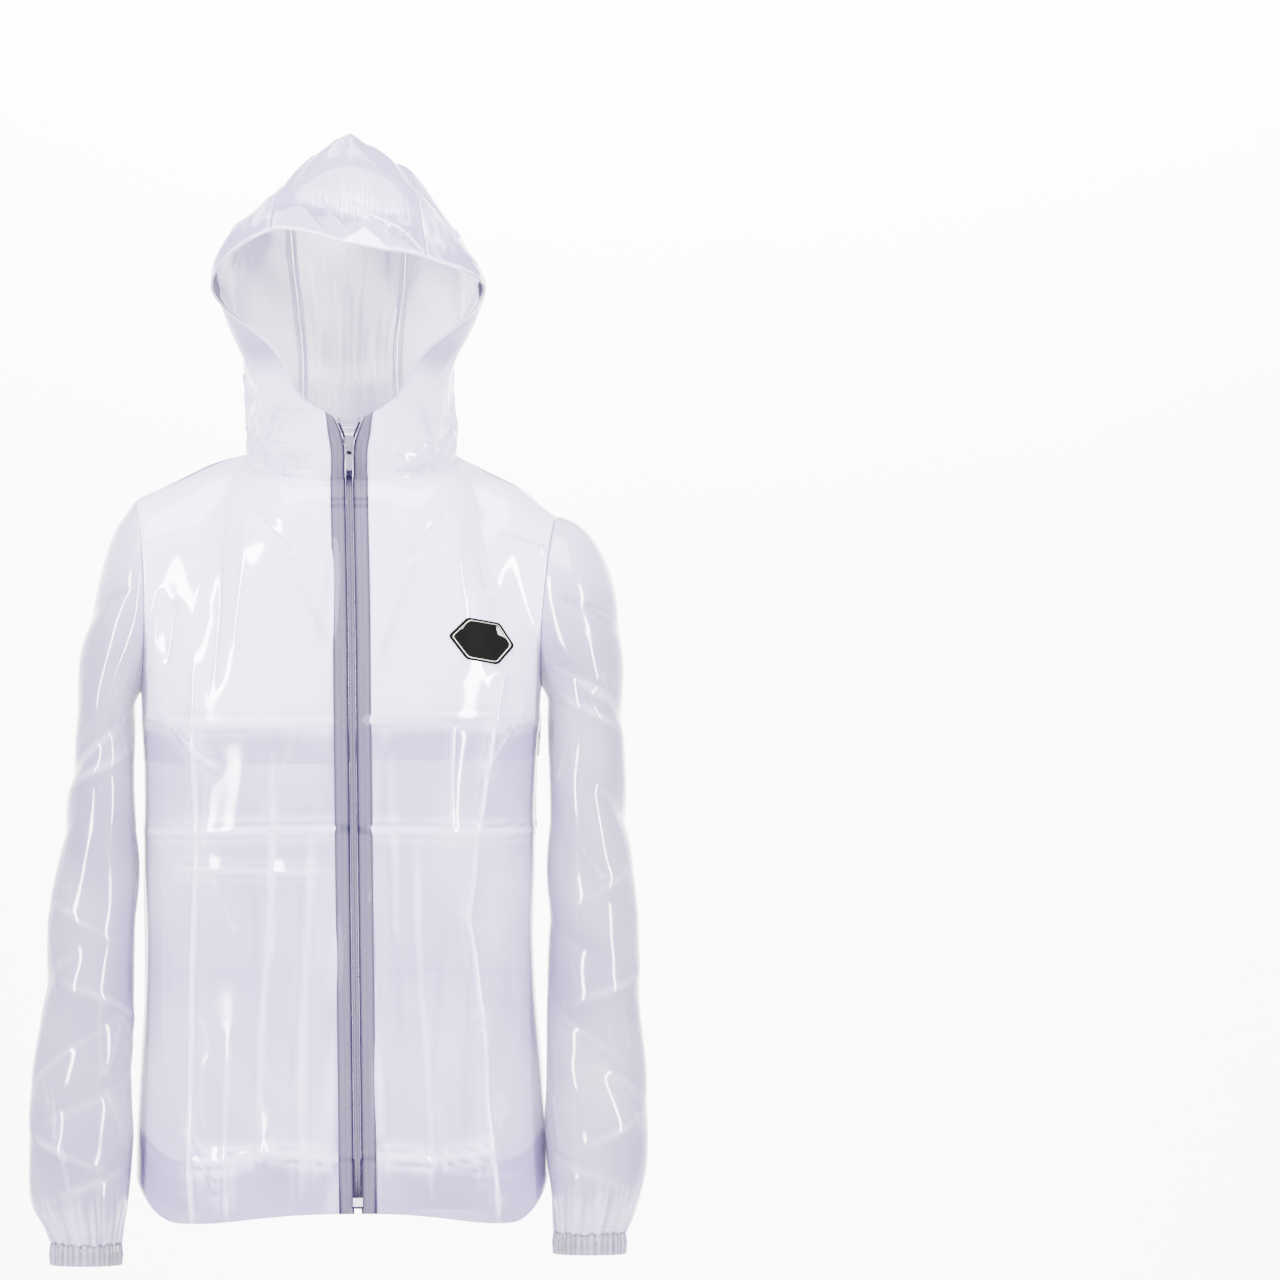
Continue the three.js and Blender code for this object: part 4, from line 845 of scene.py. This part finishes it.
# %% The hood's panels and casing
first, second = HOOD_SIDE_COLUMNS, HOOD_SIDE_COLUMNS + HOOD_CENTRE_COLUMNS
HOOD_CUTS = {"right": (0, first, ["end"]), "centre": (first, second, ["start", "end"]), "left": (second, None, ["start"])}
for name, (start, stop, seams) in HOOD_CUTS.items():
    part = hood[:, start:None if stop is None else stop + 1]
    out = hood_out[:, start:None if stop is None else stop + 1]
    rows_back = back_all[:, start:None if stop is None else stop + 1]
    weld = bar(edge_distance(part, "bottom"), 0, 6) + bell(rows_back - CASING_END, 0.006) + bell(rows_back, 0.01)
    weld += sum(bar(edge_distance(part, edge), 0, 5) for edge in seams)
    places = reach_all[:, start:None if stop is None else stop + 1] * HOOD_ROUND
    white = np.maximum(crease_value(out), inside(places, rows_back * HOOD_BACK, BROW_FOLD))
    white = np.maximum(white, 0.8 * bell(rows_back, 0.014))
    # Painted light: the hood is painted paler low down, near the neck, and over its back half.
    white = paler_with_painted_light(white, 0.75 * ease((118 - part[..., 2]) / 30))
    white = np.maximum(white, 0.45 * ease((rows_back - 0.45) / 0.1))
    piece = shell(f"hood_{name}_film", trim(part, ["bottom", *seams]), weld=np.clip(weld, 0, 1), crease=white)
    place(piece, f"hood_{name}")

casing = hood[:int(CASING_END * HOOD_ROWS) + 2]
casing = casing - outward(casing) * (FILM + 1.0)
piece = shell("hood_casing_film", casing, weld=np.full(casing.shape[:2], 0.2), crease=bell(edge_distance(casing, "top"), 3))
place(piece, "hood_hem")

# %% [markdown]
# The zip: two woven tapes under a welded strip of film, with a dark nylon coil on each edge.
# Its strips are laid out from the edge of the hood and of the front, so they follow every bend.

# %% The zip's edge line
TAPE_INSIDE, TAPE_OUTSIDE, TAPE_OUTSIDE_TOP = 2.8, 11, 5
TAPE_HIGH, TAPE_WALL = 1.5, 0.8  # its outer face above the front's, and its thickness
COIL_GAP, COIL_WIDE, COIL_FROM, COIL_TO = 0.3, 2.35, 51, -643
FLARE_SPREAD = 12
TOOTH_PITCH, TOOTH_HIGH, TOOTH_SHARE = 1.6, 1.1, 0.52
# Painted light and shade along each tooth, from the root to the tip: near black as shaded where it meets the tape and
# the other row, pale on its crown as a painted highlight.
TOOTH_PAINTED_SHADE = [1, 0.9, 0.15, 0.7, 1]  # from the root to the tip


def zip_edge(side):
    """Points down the edge, the direction out over the film, and the normal, from the rim to the hem."""
    rim_columns = np.s_[:, -1:-3:-1] if side > 0 else np.s_[:, :2]
    hood_part, hood_normals = hood_smooth[rim_columns], outward(hood_smooth)[rim_columns]
    front = body_grid(side, -1, np.array([0, 0.03]), np.linspace(0, 2, FRONT_ROWS))
    whole = body_grid(side, -1, np.linspace(0, 1, FRONT_COLUMNS), np.linspace(0, 2, FRONT_ROWS))
    at = np.concatenate([hood_part[:-1, 0], front[:, 0]])
    along = np.concatenate([hood_part[:-1, 1] - hood_part[:-1, 0], front[:, 1] - front[:, 0]])
    normal = np.concatenate([hood_normals[:-1, 0], outward(whole)[:, 0]])
    return at, along / np.linalg.norm(along, axis=1, keepdims=True), normal


def zip_open(at):
    """0 where the zip is closed, and up to 1 where its sides flare apart above the slider."""
    return np.where(at[:, 2] > 0, ease((np.abs(at[:, 0] - ZIP_DRIFT_TOP) - ZIP_EDGE_HALF) / FLARE_SPREAD), 0)


def edge_on(side, z):
    """The edge line's point and normal at given heights, and how far it is open there."""
    at, _, normal = zip_edge(side)
    order = np.argsort(at[:, 2])
    pick = lambda column: np.interp(z, at[order, 2], column[order])
    point = np.stack([pick(at[:, 0]), pick(at[:, 1]), z], axis=-1)
    normal_yz = np.stack([np.zeros(len(z)), pick(normal[:, 1]), pick(normal[:, 2])], axis=-1)
    return point, normal_yz / np.linalg.norm(normal_yz, axis=1, keepdims=True), pick(zip_open(at))


# %% The zip's tapes
TAPE_COLUMNS = 17

WELD_BARS = [-18, -24, -312, -317, -608]


def foot_value(z):
    """0 along the zip, and 1 at its foot, where the dye of the coil shows dark."""
    return ease((-610 - z) / 45)


for side, name in SIDES.items():
    at, along, normal = zip_edge(side)
    share = np.linspace(0, 1, TAPE_COLUMNS)
    opened = zip_open(at)[:, None]
    offset = mix(-mix(TAPE_INSIDE, TAPE_INSIDE + 1, opened), mix(TAPE_OUTSIDE, TAPE_OUTSIDE_TOP, opened), share)
    ridge = 0.35 * bell(share - 0.12, 0.07) - 0.5 * ease((share - 0.86) / 0.14)
    lift = np.broadcast_to(TAPE_HIGH + ridge, offset.shape)
    points = at[:, None] + along[:, None] * offset[..., None] + normal[:, None] * lift[..., None]
    if side > 0:
        points = points[:, ::-1]
    foot = foot_value(points[..., 2])
    lines = share[::-1] if side > 0 else share
    stripe = bell(lines - 0.06, 0.12) + bell(lines - 0.93, 0.06 + 0.07 * foot) * mix(0.8, 1, foot)
    stripe = stripe + 0.25 * bell(lines - 0.5, 0.04)
    bars = sum(bell(points[..., 2] - bar_z, 1.6) for bar_z in WELD_BARS)
    piece = shell(f"zip_tape_{name}_woven", points, thick=TAPE_WALL, crease=np.clip(stripe + 0.4 * bars, 0, 1))
    place(piece, f"zip_tape_{name}")


# %% The zip's teeth
def tooth_rings(side):
    """Each turn of the coil as a rounded bar across the zip: rings of points round its length."""
    z = np.arange(COIL_TO, COIL_FROM, TOOTH_PITCH) + (TOOTH_PITCH / 2 if side > 0 else 0)
    z = z[z < COIL_FROM]
    point, normal, opened = edge_on(side, z)
    inner = -(TAPE_INSIDE + opened + COIL_GAP)
    closed_reach = (1 - ease(opened * 8)) * (z < 33) * 0.9
    lengths = np.array([0, 0.08, 0.5, 0.9, 1])
    sizes = np.array([0.95, 1, 0.95, 1, 0.9])
    corners = np.arange(6) / 6 * 2 * np.pi
    x = side * (inner[:, None] - lengths * (COIL_WIDE + closed_reach[:, None]))
    middle = point[:, None] + x[..., None] * np.array([1.0, 0, 0]) + normal[:, None] * 1.5
    round_z = np.cos(corners) * TOOTH_PITCH * TOOTH_SHARE
    round_out = np.sin(corners) * TOOTH_HIGH
    rings = middle[:, :, None] + sizes[:, None, None] * (
        round_z[:, None] * np.array([0, 0, 1.0])
        + round_out[:, None] * normal[:, None, None])
    return rings


def coil_mesh(name, rings):
    """All the bars of one side in one mesh: sides between the rings, and a fan closing each end."""
    bars, lengths, corners = rings.shape[:3]
    number = np.arange(bars * lengths * corners).reshape(bars, lengths, corners)
    turned = np.roll(number, -1, axis=2)
    sides = np.stack([number[:, :-1], number[:, 1:], turned[:, 1:], turned[:, :-1]], axis=-1).reshape(-1, 4)
    ends = np.concatenate([number[:, 0], number[:, -1, ::-1]])
    flat = rings.reshape(-1, 3)
    # Painted shade at each tooth's root and tip, a painted highlight on its crown, and near black all along from just
    # below the neck up.
    dark = np.broadcast_to(np.array(TOOTH_PAINTED_SHADE)[None, :, None], rings.shape[:3]).reshape(-1)
    dark = np.maximum(dark, ease((flat[:, 2] + 14) / 16))
    values = {"weld": foot_value(flat[:, 2]), "crease": dark}
    thing = new_object(name, flat, sides.tolist() + ends.tolist(), values=values)
    fix_winding(thing)
    return thing


for side, name in SIDES.items():
    piece = coil_mesh(f"zip_coil_{name}_teeth", tooth_rings(side))
    place(piece, f"zip_coil_{name}")
    print(piece.name, len(piece.data.polygons), "faces")

# %% [markdown]
# The badge is a small bare plate of soft PVC, welded to the left chest.
# Its place is found on the front itself, so that it bends with the film.

# %% Patches on the film
BADGE = np.array([(87, -141), (104, -124.5), (133, -129.5), (146.5, -150), (131.5, -167), (103, -162)], float)
BADGE_THICK, PATCH_LIFT = 1.0, 0.7
NECK_DOT = (-2.7, 40, 4.8)
FLAP_SNAP = (1.8, -247, 5.6)


def find_on(grid, x, z):
    """The grid's point and normal in front of each x and z, by the nearest four points' weights."""
    flat = grid.reshape(-1, 3)
    normals = outward(grid).reshape(-1, 3)
    near = (flat[:, 0] > x.min() - 12) & (flat[:, 0] < x.max() + 12)
    near &= (flat[:, 2] > z.min() - 12) & (flat[:, 2] < z.max() + 12)
    kept, kept_normals = flat[near], normals[near]
    apart = (kept[:, 0][None] - x.ravel()[:, None]) ** 2 + (kept[:, 2][None] - z.ravel()[:, None]) ** 2
    closest = np.argsort(apart, axis=1)[:, :8]
    weight = 1 / (np.take_along_axis(apart, closest, axis=1) + 0.5)
    weight /= weight.sum(axis=1, keepdims=True)
    slope = -kept_normals[closest][..., [0, 2]] / kept_normals[closest][..., 1:2]
    step_x, step_z = x.ravel()[:, None] - kept[closest][..., 0], z.ravel()[:, None] - kept[closest][..., 2]
    y = ((kept[closest][..., 1] + slope[..., 0] * step_x + slope[..., 1] * step_z) * weight).sum(axis=1)
    normal = (kept_normals[closest] * weight[..., None]).sum(axis=1)
    normal /= np.linalg.norm(normal, axis=1, keepdims=True)
    return xyz(x, y.reshape(x.shape), z), normal.reshape(*x.shape, 3)


def rounded_outline(corners, cut, count=8):
    """The corners' outline with each corner rounded by a short curve of count points."""
    before, after = np.roll(corners, 1, axis=0), np.roll(corners, -1, axis=0)
    back = (before - corners) / np.linalg.norm(before - corners, axis=1, keepdims=True)
    on = (after - corners) / np.linalg.norm(after - corners, axis=1, keepdims=True)
    t = np.linspace(0, 1, count)[None, :, None]
    start, end = (corners + back * cut)[:, None], (corners + on * cut)[:, None]
    return (start * (1 - t) ** 2 + corners[:, None] * 2 * t * (1 - t) + end * t * t).reshape(-1, 2)


def patch(name, grid, outline, profile):
    """A closed plate on the film: rings from the middle out, a row of share and lift for each."""
    middle = outline.mean(axis=0)
    shares, lifts = np.array(profile, float).T
    spots = middle + (outline - middle)[None] * shares[:, None, None]
    at, normal = find_on(grid, spots[..., 0], spots[..., 1])
    rings = (at + normal * lifts[:, None, None]).reshape(-1, 3)
    rows, columns = len(shares), len(outline)
    number = np.arange(rows * columns).reshape(rows, columns)
    turned = np.roll(number, -1, axis=1)
    sides = np.stack([number[:-1], number[1:], turned[1:], turned[:-1]], axis=-1).reshape(-1, 4)
    faces = sides.tolist() + [number[0].tolist(), number[-1, ::-1].tolist()]
    thing = new_object(name, rings, faces)
    fix_winding(thing)
    return thing


badge_outline = rounded_outline(BADGE, 3.0)
badge = patch("chest_badge_plate", fronts[1], badge_outline, [
    (0.02, 0.4), (0.5, 0.4), (0.97, 0.4), (1.0, 0.7), (1.0, 1.3), (0.985, 1.7), (0.96, 1.9),
    (0.93, 1.9), (0.91, 1.5), (0.8, 1.45), (0.5, 1.5), (0.25, 1.5), (0.02, 1.5),
])
place(badge, "chest_badge")
border = patch("chest_badge_border", fronts[1], badge_outline, [
    (0.868, 1.3), (0.898, 1.3), (0.898, 1.62), (0.894, 1.7), (0.872, 1.7), (0.868, 1.62), (0.868, 1.31),
])
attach(border, "coat")


def circle(place_x, place_z, radius, count=40):
    """Points round a circle in the front or back view."""
    turn = np.arange(count) / count * 2 * np.pi
    return np.stack([place_x + radius * np.cos(turn), place_z + radius * np.sin(turn)], axis=-1)


dot = patch("neck_dot_cap", yoke, circle(*NECK_DOT), [
    (0.05, 0.3), (0.95, 0.3), (1, 0.6), (0.97, 1.1), (0.85, 1.5), (0.6, 1.7), (0.3, 1.75), (0.05, 1.75)])
place(dot, "neck_dot")
snap = patch("flap_snap_cap", yoke, circle(*FLAP_SNAP), [
    (0.05, 0.3), (0.95, 0.3), (1, 0.8), (0.97, 1.6), (0.86, 2.1), (0.74, 2.2), (0.66, 1.7), (0.3, 1.5), (0.05, 1.5)])
place(snap, "flap_snap")
print("badge faces:", len(badge.data.polygons))

# %% [markdown]
# Materials are named for the real material and how it was made.
# One small function adds a node, and one turns the sRGB hex colours to linear values.

# %% Material helpers
def srgb(hex_colour):
    """An sRGB hex colour as linear red, green, blue and 1."""
    values = np.array([int(hex_colour[k:k + 2], 16) / 255 for k in (0, 2, 4)])
    linear = np.where(values <= 0.04045, values / 12.92, ((values + 0.055) / 1.055) ** 2.4)
    return (*linear.tolist(), 1.0)


def node(tree, kind, inputs=None, **settings):
    """Adds a node, sets its settings, and sets or links its inputs."""
    made = tree.nodes.new(kind)
    for key, value in settings.items():
        setattr(made, key, value)
    for key, value in (inputs or {}).items():
        if isinstance(value, bpy.types.NodeSocket):
            tree.links.new(value, made.inputs[key])
        else:
            made.inputs[key].default_value = value
    return made


def start_material(name):
    """An empty material's tree, its surface socket and its object coordinates."""
    material = bpy.data.materials.new(name)
    material.use_nodes = True
    tree = material.node_tree
    tree.nodes.clear()
    output = node(tree, "ShaderNodeOutputMaterial")
    coordinates = node(tree, "ShaderNodeTexCoord")
    return material, tree, output.inputs["Surface"], coordinates


def math_node(tree, operation, a, b=0.0, clamp=False):
    """One sum or product of two values."""
    return node(tree, "ShaderNodeMath", {0: a, 1: b}, operation=operation, use_clamp=clamp).outputs[0]


def noise(tree, coordinates, size_mm, detail=2.0, rough=0.5):
    """Noise whose features are about size_mm across."""
    made = node(tree, "ShaderNodeTexNoise", {
        "Vector": coordinates.outputs["Object"], "Scale": 1 / (size_mm * MM), "Detail": detail, "Roughness": rough})
    return made.outputs["Fac"]


def scaled(tree, value, low, high):
    """A value from 0 to 1 laid between low and high."""
    return node(tree, "ShaderNodeMapRange", {"Value": value, "To Min": low, "To Max": high}).outputs[0]


def mixed_colour(tree, factor, a, b):
    """Colour a at factor 0 and colour b at factor 1."""
    made = node(tree, "ShaderNodeMix", {"Factor": factor}, data_type="RGBA")
    for socket, value in ((made.inputs[6], a), (made.inputs[7], b)):
        if isinstance(value, bpy.types.NodeSocket):
            tree.links.new(value, socket)
        else:
            socket.default_value = value
    return made.outputs[2]


def bump(tree, height, depth_mm, strength=1.0, before=None):
    """A relief of a height from 0 to 1 that is depth_mm deep."""
    inputs = {"Height": height, "Distance": depth_mm * MM, "Strength": strength}
    if before is not None:
        inputs["Normal"] = before
    return node(tree, "ShaderNodeBump", inputs).outputs[0]


def attribute(tree, name):
    """The value from 0 to 1 that a mesh carries under this name."""
    return node(tree, "ShaderNodeAttribute", attribute_name=name).outputs["Fac"]


# %% [markdown]
# Calendered PVC film: clear and a little milky. A single layer lets about half the light
# straight through, so everything behind it shows, paler. Where it is welded, folded or
# seen edge-on it is denser. It is glossy, with sharp lights on every ridge.

# %% The film
EDGE_MILK, CLOUD_MILK, WELD_MILK, CREASE_MILK = 0.16, 0.18, 0.16, 0.28


def weighed(tree, parts, base):
    """A base value plus each part times its own weight."""
    total = base
    for value, weight in parts:
        total = node(tree, "ShaderNodeMath", {0: value, 1: weight, 2: total}, operation="MULTIPLY_ADD").outputs[0]
    return total


def pvc_film(name, tint, clear, opaque, rough=0.10):
    """Film whose opacity runs from clear to opaque with its welds, creases and edges."""
    material, tree, surface, coordinates = start_material(name)
    weld, crease, milk = (attribute(tree, key) for key in ("weld", "crease", "milk"))
    edge = node(tree, "ShaderNodeLayerWeight", {"Blend": 0.32}).outputs["Facing"]
    parts = [(edge, EDGE_MILK), (milk, CLOUD_MILK), (weld, WELD_MILK), (crease, CREASE_MILK)]
    dense = math_node(tree, "MINIMUM", weighed(tree, parts, clear - CLOUD_MILK / 2), opaque, clamp=True)
    alpha = math_node(tree, "MULTIPLY", dense, math_node(tree, "SUBTRACT", 1.0, attribute(tree, "inner")))
    # The tint runs to a pale colour with crease: creases partly painted highlight, and places painted paler as lit.
    colour = mixed_colour(tree, crease, srgb(tint), srgb("EDE3FF"))
    shader = node(tree, "ShaderNodeBsdfPrincipled", {
        "Base Color": colour, "Alpha": alpha, "Roughness": scaled(tree, milk, rough * 0.8, rough * 1.4),
        "IOR": 1.53, "Specular IOR Level": 0.9})
    tree.links.new(shader.outputs[0], surface)
    return material


body_film = pvc_film("clear PVC film, calendered", "A194C2", 0.73, 0.98)
# Painted shade: the sleeves' film is the body's film with a darker tint, for the less light that falls on the sleeves.
limb_film = pvc_film("clear PVC film, calendered, painted darker", "7A6E98", 0.73, 0.97)
hem_film = pvc_film("clear PVC film, folded and welded", "2C2540", 0.9, 0.97, 0.18)

# %% [markdown]
# The zip's tape is woven polyester, dyed grey violet, under a strip of film.
# The coil is a nylon thread, dyed dark violet and wound hot on a mandrel.

# %% The zip's materials
def woven_tape(name):
    """A plain weave of 0.5 mm threads under a glossy skin, with two darker sewn lines."""
    material, tree, surface, coordinates = start_material(name)
    uv = coordinates.outputs["UV"]
    apart = node(tree, "ShaderNodeSeparateXYZ", {0: uv})
    thread = 2 * np.pi / (0.9 * MM)
    across = math_node(tree, "SINE", math_node(tree, "MULTIPLY", apart.outputs[0], thread))
    down = math_node(tree, "SINE", math_node(tree, "MULTIPLY", apart.outputs[1], thread))
    weave = scaled(tree, math_node(tree, "MULTIPLY", across, down), 0.5, 1.0)
    base = mixed_colour(tree, weave, srgb("565267"), srgb("6B677C"))
    lined = mixed_colour(tree, attribute(tree, "crease"), base, srgb("140A2C"))
    shader = node(tree, "ShaderNodeBsdfPrincipled", {
        "Base Color": lined, "Alpha": scaled(tree, attribute(tree, "crease"), 0.66, 1.0), "Roughness": 0.45,
        "Normal": bump(tree, weave, 0.10), "Specular IOR Level": 0.12})
    tree.links.new(shader.outputs[0], surface)
    return material


def coil_nylon(name):
    """Nylon thread dyed dark violet: painted pale on each tooth's crown, a painted highlight, painted near black at
    its root and tip as shade, and near black at the foot.
    """
    material, tree, surface, coordinates = start_material(name)
    grain = noise(tree, coordinates, 2.0)
    pale = mixed_colour(tree, grain, srgb("6B667B"), srgb("827D92"))
    base = mixed_colour(tree, attribute(tree, "crease"), pale, srgb("1C1432"))
    dark = mixed_colour(tree, attribute(tree, "weld"), base, srgb("0C0512"))
    shader = node(tree, "ShaderNodeBsdfPrincipled", {
        "Base Color": dark, "Roughness": scaled(tree, grain, 0.45, 0.6), "Normal": bump(tree, grain, 0.02),
        "Specular IOR Level": 0.08})
    tree.links.new(shader.outputs[0], surface)
    return material


def plain(name, colour, other, rough, size_mm, depth_mm, **sockets):
    """A solid material whose colour, polish and relief all follow one noise."""
    material, tree, surface, coordinates = start_material(name)
    grain = noise(tree, coordinates, size_mm, 3)
    inputs = {
        "Base Color": mixed_colour(tree, grain, srgb(colour), srgb(other)),
        "Roughness": scaled(tree, grain, rough * 0.85, rough * 1.15),
        "Normal": bump(tree, grain, depth_mm)}
    inputs.update({key.replace("_", " "): value for key, value in sockets.items()})
    shader = node(tree, "ShaderNodeBsdfPrincipled", inputs)
    tree.links.new(shader.outputs[0], surface)
    return material


tape = woven_tape("polyester zip tape, woven, under film")
coil = coil_nylon("nylon monofilament, dyed violet")
zinc = plain("zinc, die cast and satin plated", "A9A6B8", "8E8B9D", 0.3, 1.2, 0.015, Metallic=0.85)
badge_pvc = plain("soft PVC, moulded black", "050504", "0A0908", 0.6, 1.5, 0.03, Specular_IOR_Level=0.04)
silver = plain("silver foil, hot stamped", "CFCAC4", "BDB8B2", 0.3, 1.0, 0.01, Metallic=0.6)
dot_pvc = plain("soft PVC, moulded violet", "46366A", "54437A", 0.35, 1.5, 0.02, Coat_Weight=0.3)


def clear_cap(name):
    """Clear moulded plastic: half see-through and very glossy."""
    material, tree, surface, coordinates = start_material(name)
    cloud = noise(tree, coordinates, 4, 2)
    shader = node(tree, "ShaderNodeBsdfPrincipled", {
        "Base Color": srgb("D9D6E6"), "Alpha": scaled(tree, cloud, 0.55, 0.7), "Roughness": 0.12,
        "Normal": bump(tree, cloud, 0.05), "Specular IOR Level": 0.8, "Coat Weight": 0.6})
    tree.links.new(shader.outputs[0], surface)
    return material


def gathered_film(name):
    """Film over pinkish elastic: painted paler on each gather's ridge, a painted highlight, and darker in its groove,
    painted shade; browner in slow patches.
    """
    material, tree, surface, coordinates = start_material(name)
    crease = attribute(tree, "crease")
    ridges = mixed_colour(tree, crease, srgb("766E84"), srgb("9A94A8"))
    base = mixed_colour(tree, scaled(tree, attribute(tree, "milk"), -0.4, 0.75), ridges, srgb("6E6269"))
    grain = noise(tree, coordinates, 1.2, 2)
    shader = node(tree, "ShaderNodeBsdfPrincipled", {
        "Base Color": base, "Alpha": scaled(tree, grain, 0.84, 0.94), "Roughness": 0.3,
        "Normal": bump(tree, grain, 0.08), "Coat Weight": 0.5, "Coat Roughness": 0.1})
    tree.links.new(shader.outputs[0], surface)
    return material


cap = clear_cap("clear PVC, moulded")
elastic = gathered_film("PVC film, gathered on elastic")

# %% [markdown]
# Every piece gets its material, and the few hard nodes that stay from the frame get
# a small rounding of their edges, as a casting has.

# %% Dress every piece
KIND_OF = [
    ("_woven", tape), ("_teeth", coil), ("_gathered", elastic), ("hem_", hem_film), ("hood_casing", hem_film),
    ("badge_plate", badge_pvc), ("badge_border", silver), ("dot_cap", dot_pvc), ("snap_cap", cap),
    ("sleeve_", limb_film), ("_film", body_film),
]
KEPT = {
    "zip_slider": (zinc, 0.35), "pull_tab": (zinc, 0.35), "zip_top_stop_right": (zinc, 0.5),
    "zip_top_stop_left": (zinc, 0.5), "zip_box": (cap, 0.6),
}
for thing in bpy.context.scene.objects:
    kind = next((material for key, material in KIND_OF if key in thing.name), None)
    if thing.type == "MESH" and kind is not None and thing.name not in frame["nodes"]:
        thing.data.materials.clear()
        thing.data.materials.append(kind)
for name, (material, rounding) in KEPT.items():
    thing = frame["nodes"][name]
    thing.data.materials.clear()
    thing.data.materials.append(material)
    bevel = thing.modifiers.new("rounding", "BEVEL")
    bevel.width, bevel.segments, bevel.limit_method, bevel.angle_limit = rounding * MM, 3, "ANGLE", np.radians(40)
    bevel.use_clamp_overlap = True

# %% [markdown]
# A plain pale sweep and soft lights: two tall soft boxes make the long lights on the film,
# and a wide one overhead fills the shadows.

# %% Stage, lights and camera
FLOOR_Z, BEND_FROM, BEND_RADIUS, FLOOR_REACH = -2.5, 6.5, 2.6, 30


def sweep_points():
    """A floor that curves up into a backdrop: straight, a quarter circle, straight."""
    bend = np.linspace(0, np.pi / 2, 40)
    y = np.concatenate([[-FLOOR_REACH, -2], BEND_FROM + BEND_RADIUS * np.sin(bend), [BEND_FROM + BEND_RADIUS]])
    z = np.concatenate([[0, 0], BEND_RADIUS * (1 - np.cos(bend)), [6.0]]) + FLOOR_Z
    x = np.linspace(-FLOOR_REACH, FLOOR_REACH, 5)
    return xyz(x[None], y[:, None], z[:, None]) / MM


floor_grid = sweep_points()
sweep = new_object("studio_sweep", floor_grid.reshape(-1, 3), grid_quads(*floor_grid.shape[:2], False).tolist())
paper = plain("matt paper, pale", "F9F9FB", "FBFBFD", 0.9, 400, 0.01)
sweep.data.materials.append(paper)


def soft_box(name, at, towards, size, watts):
    """A rectangular lamp that faces a point."""
    lamp = bpy.data.lights.new(name, "AREA")
    lamp.shape, lamp.size, lamp.size_y, lamp.energy = "RECTANGLE", size[0], size[1], watts
    thing = bpy.data.objects.new(name, lamp)
    thing.location = at
    thing.rotation_euler = (Vector(towards) - Vector(at)).to_track_quat("-Z", "Y").to_euler()
    bpy.context.scene.collection.objects.link(thing)
    return thing


TARGET = (0, 0, -0.2)
soft_box("soft box left", (-2.2, -2.4, 0.9), TARGET, (0.5, 2.4), 400)
soft_box("soft box right", (2.5, -2.0, 0.6), TARGET, (0.35, 2.2), 270)
soft_box("soft box overhead", (0, -0.6, 2.6), TARGET, (2.6, 2.0), 220)
soft_box("backdrop light", (0.6, 6.9, 3.3), (0.6, 9.0, -0.1), (5.0, 1.6), 2600)

world = bpy.data.worlds.new("pale studio")
world.use_nodes = True
world.node_tree.nodes["Background"].inputs["Color"].default_value = srgb("F1EDFB")
world.node_tree.nodes["Background"].inputs["Strength"].default_value = 2.2
bpy.context.scene.world = world

FRAME_MIDDLE = (0.2628, -0.144)  # what the picture's middle shows, in the plane of the zip
CAMERA_AT = (0.0, -7.5, -0.20)
FRAME_WIDTH = 1.165
SENSOR = 36.0
camera_data = bpy.data.cameras.new("camera")
camera = bpy.data.objects.new("camera", camera_data)
aim = Vector((FRAME_MIDDLE[0], 0, FRAME_MIDDLE[1])) - Vector(CAMERA_AT)
camera.location = CAMERA_AT
camera.rotation_euler = aim.to_track_quat("-Z", "Y").to_euler()
camera_data.sensor_width = SENSOR
camera_data.lens = SENSOR / 2 / (FRAME_WIDTH / 2 / aim.length)
bpy.context.scene.collection.objects.link(camera)
bpy.context.scene.camera = camera
print("lens in mm:", round(camera_data.lens, 1))
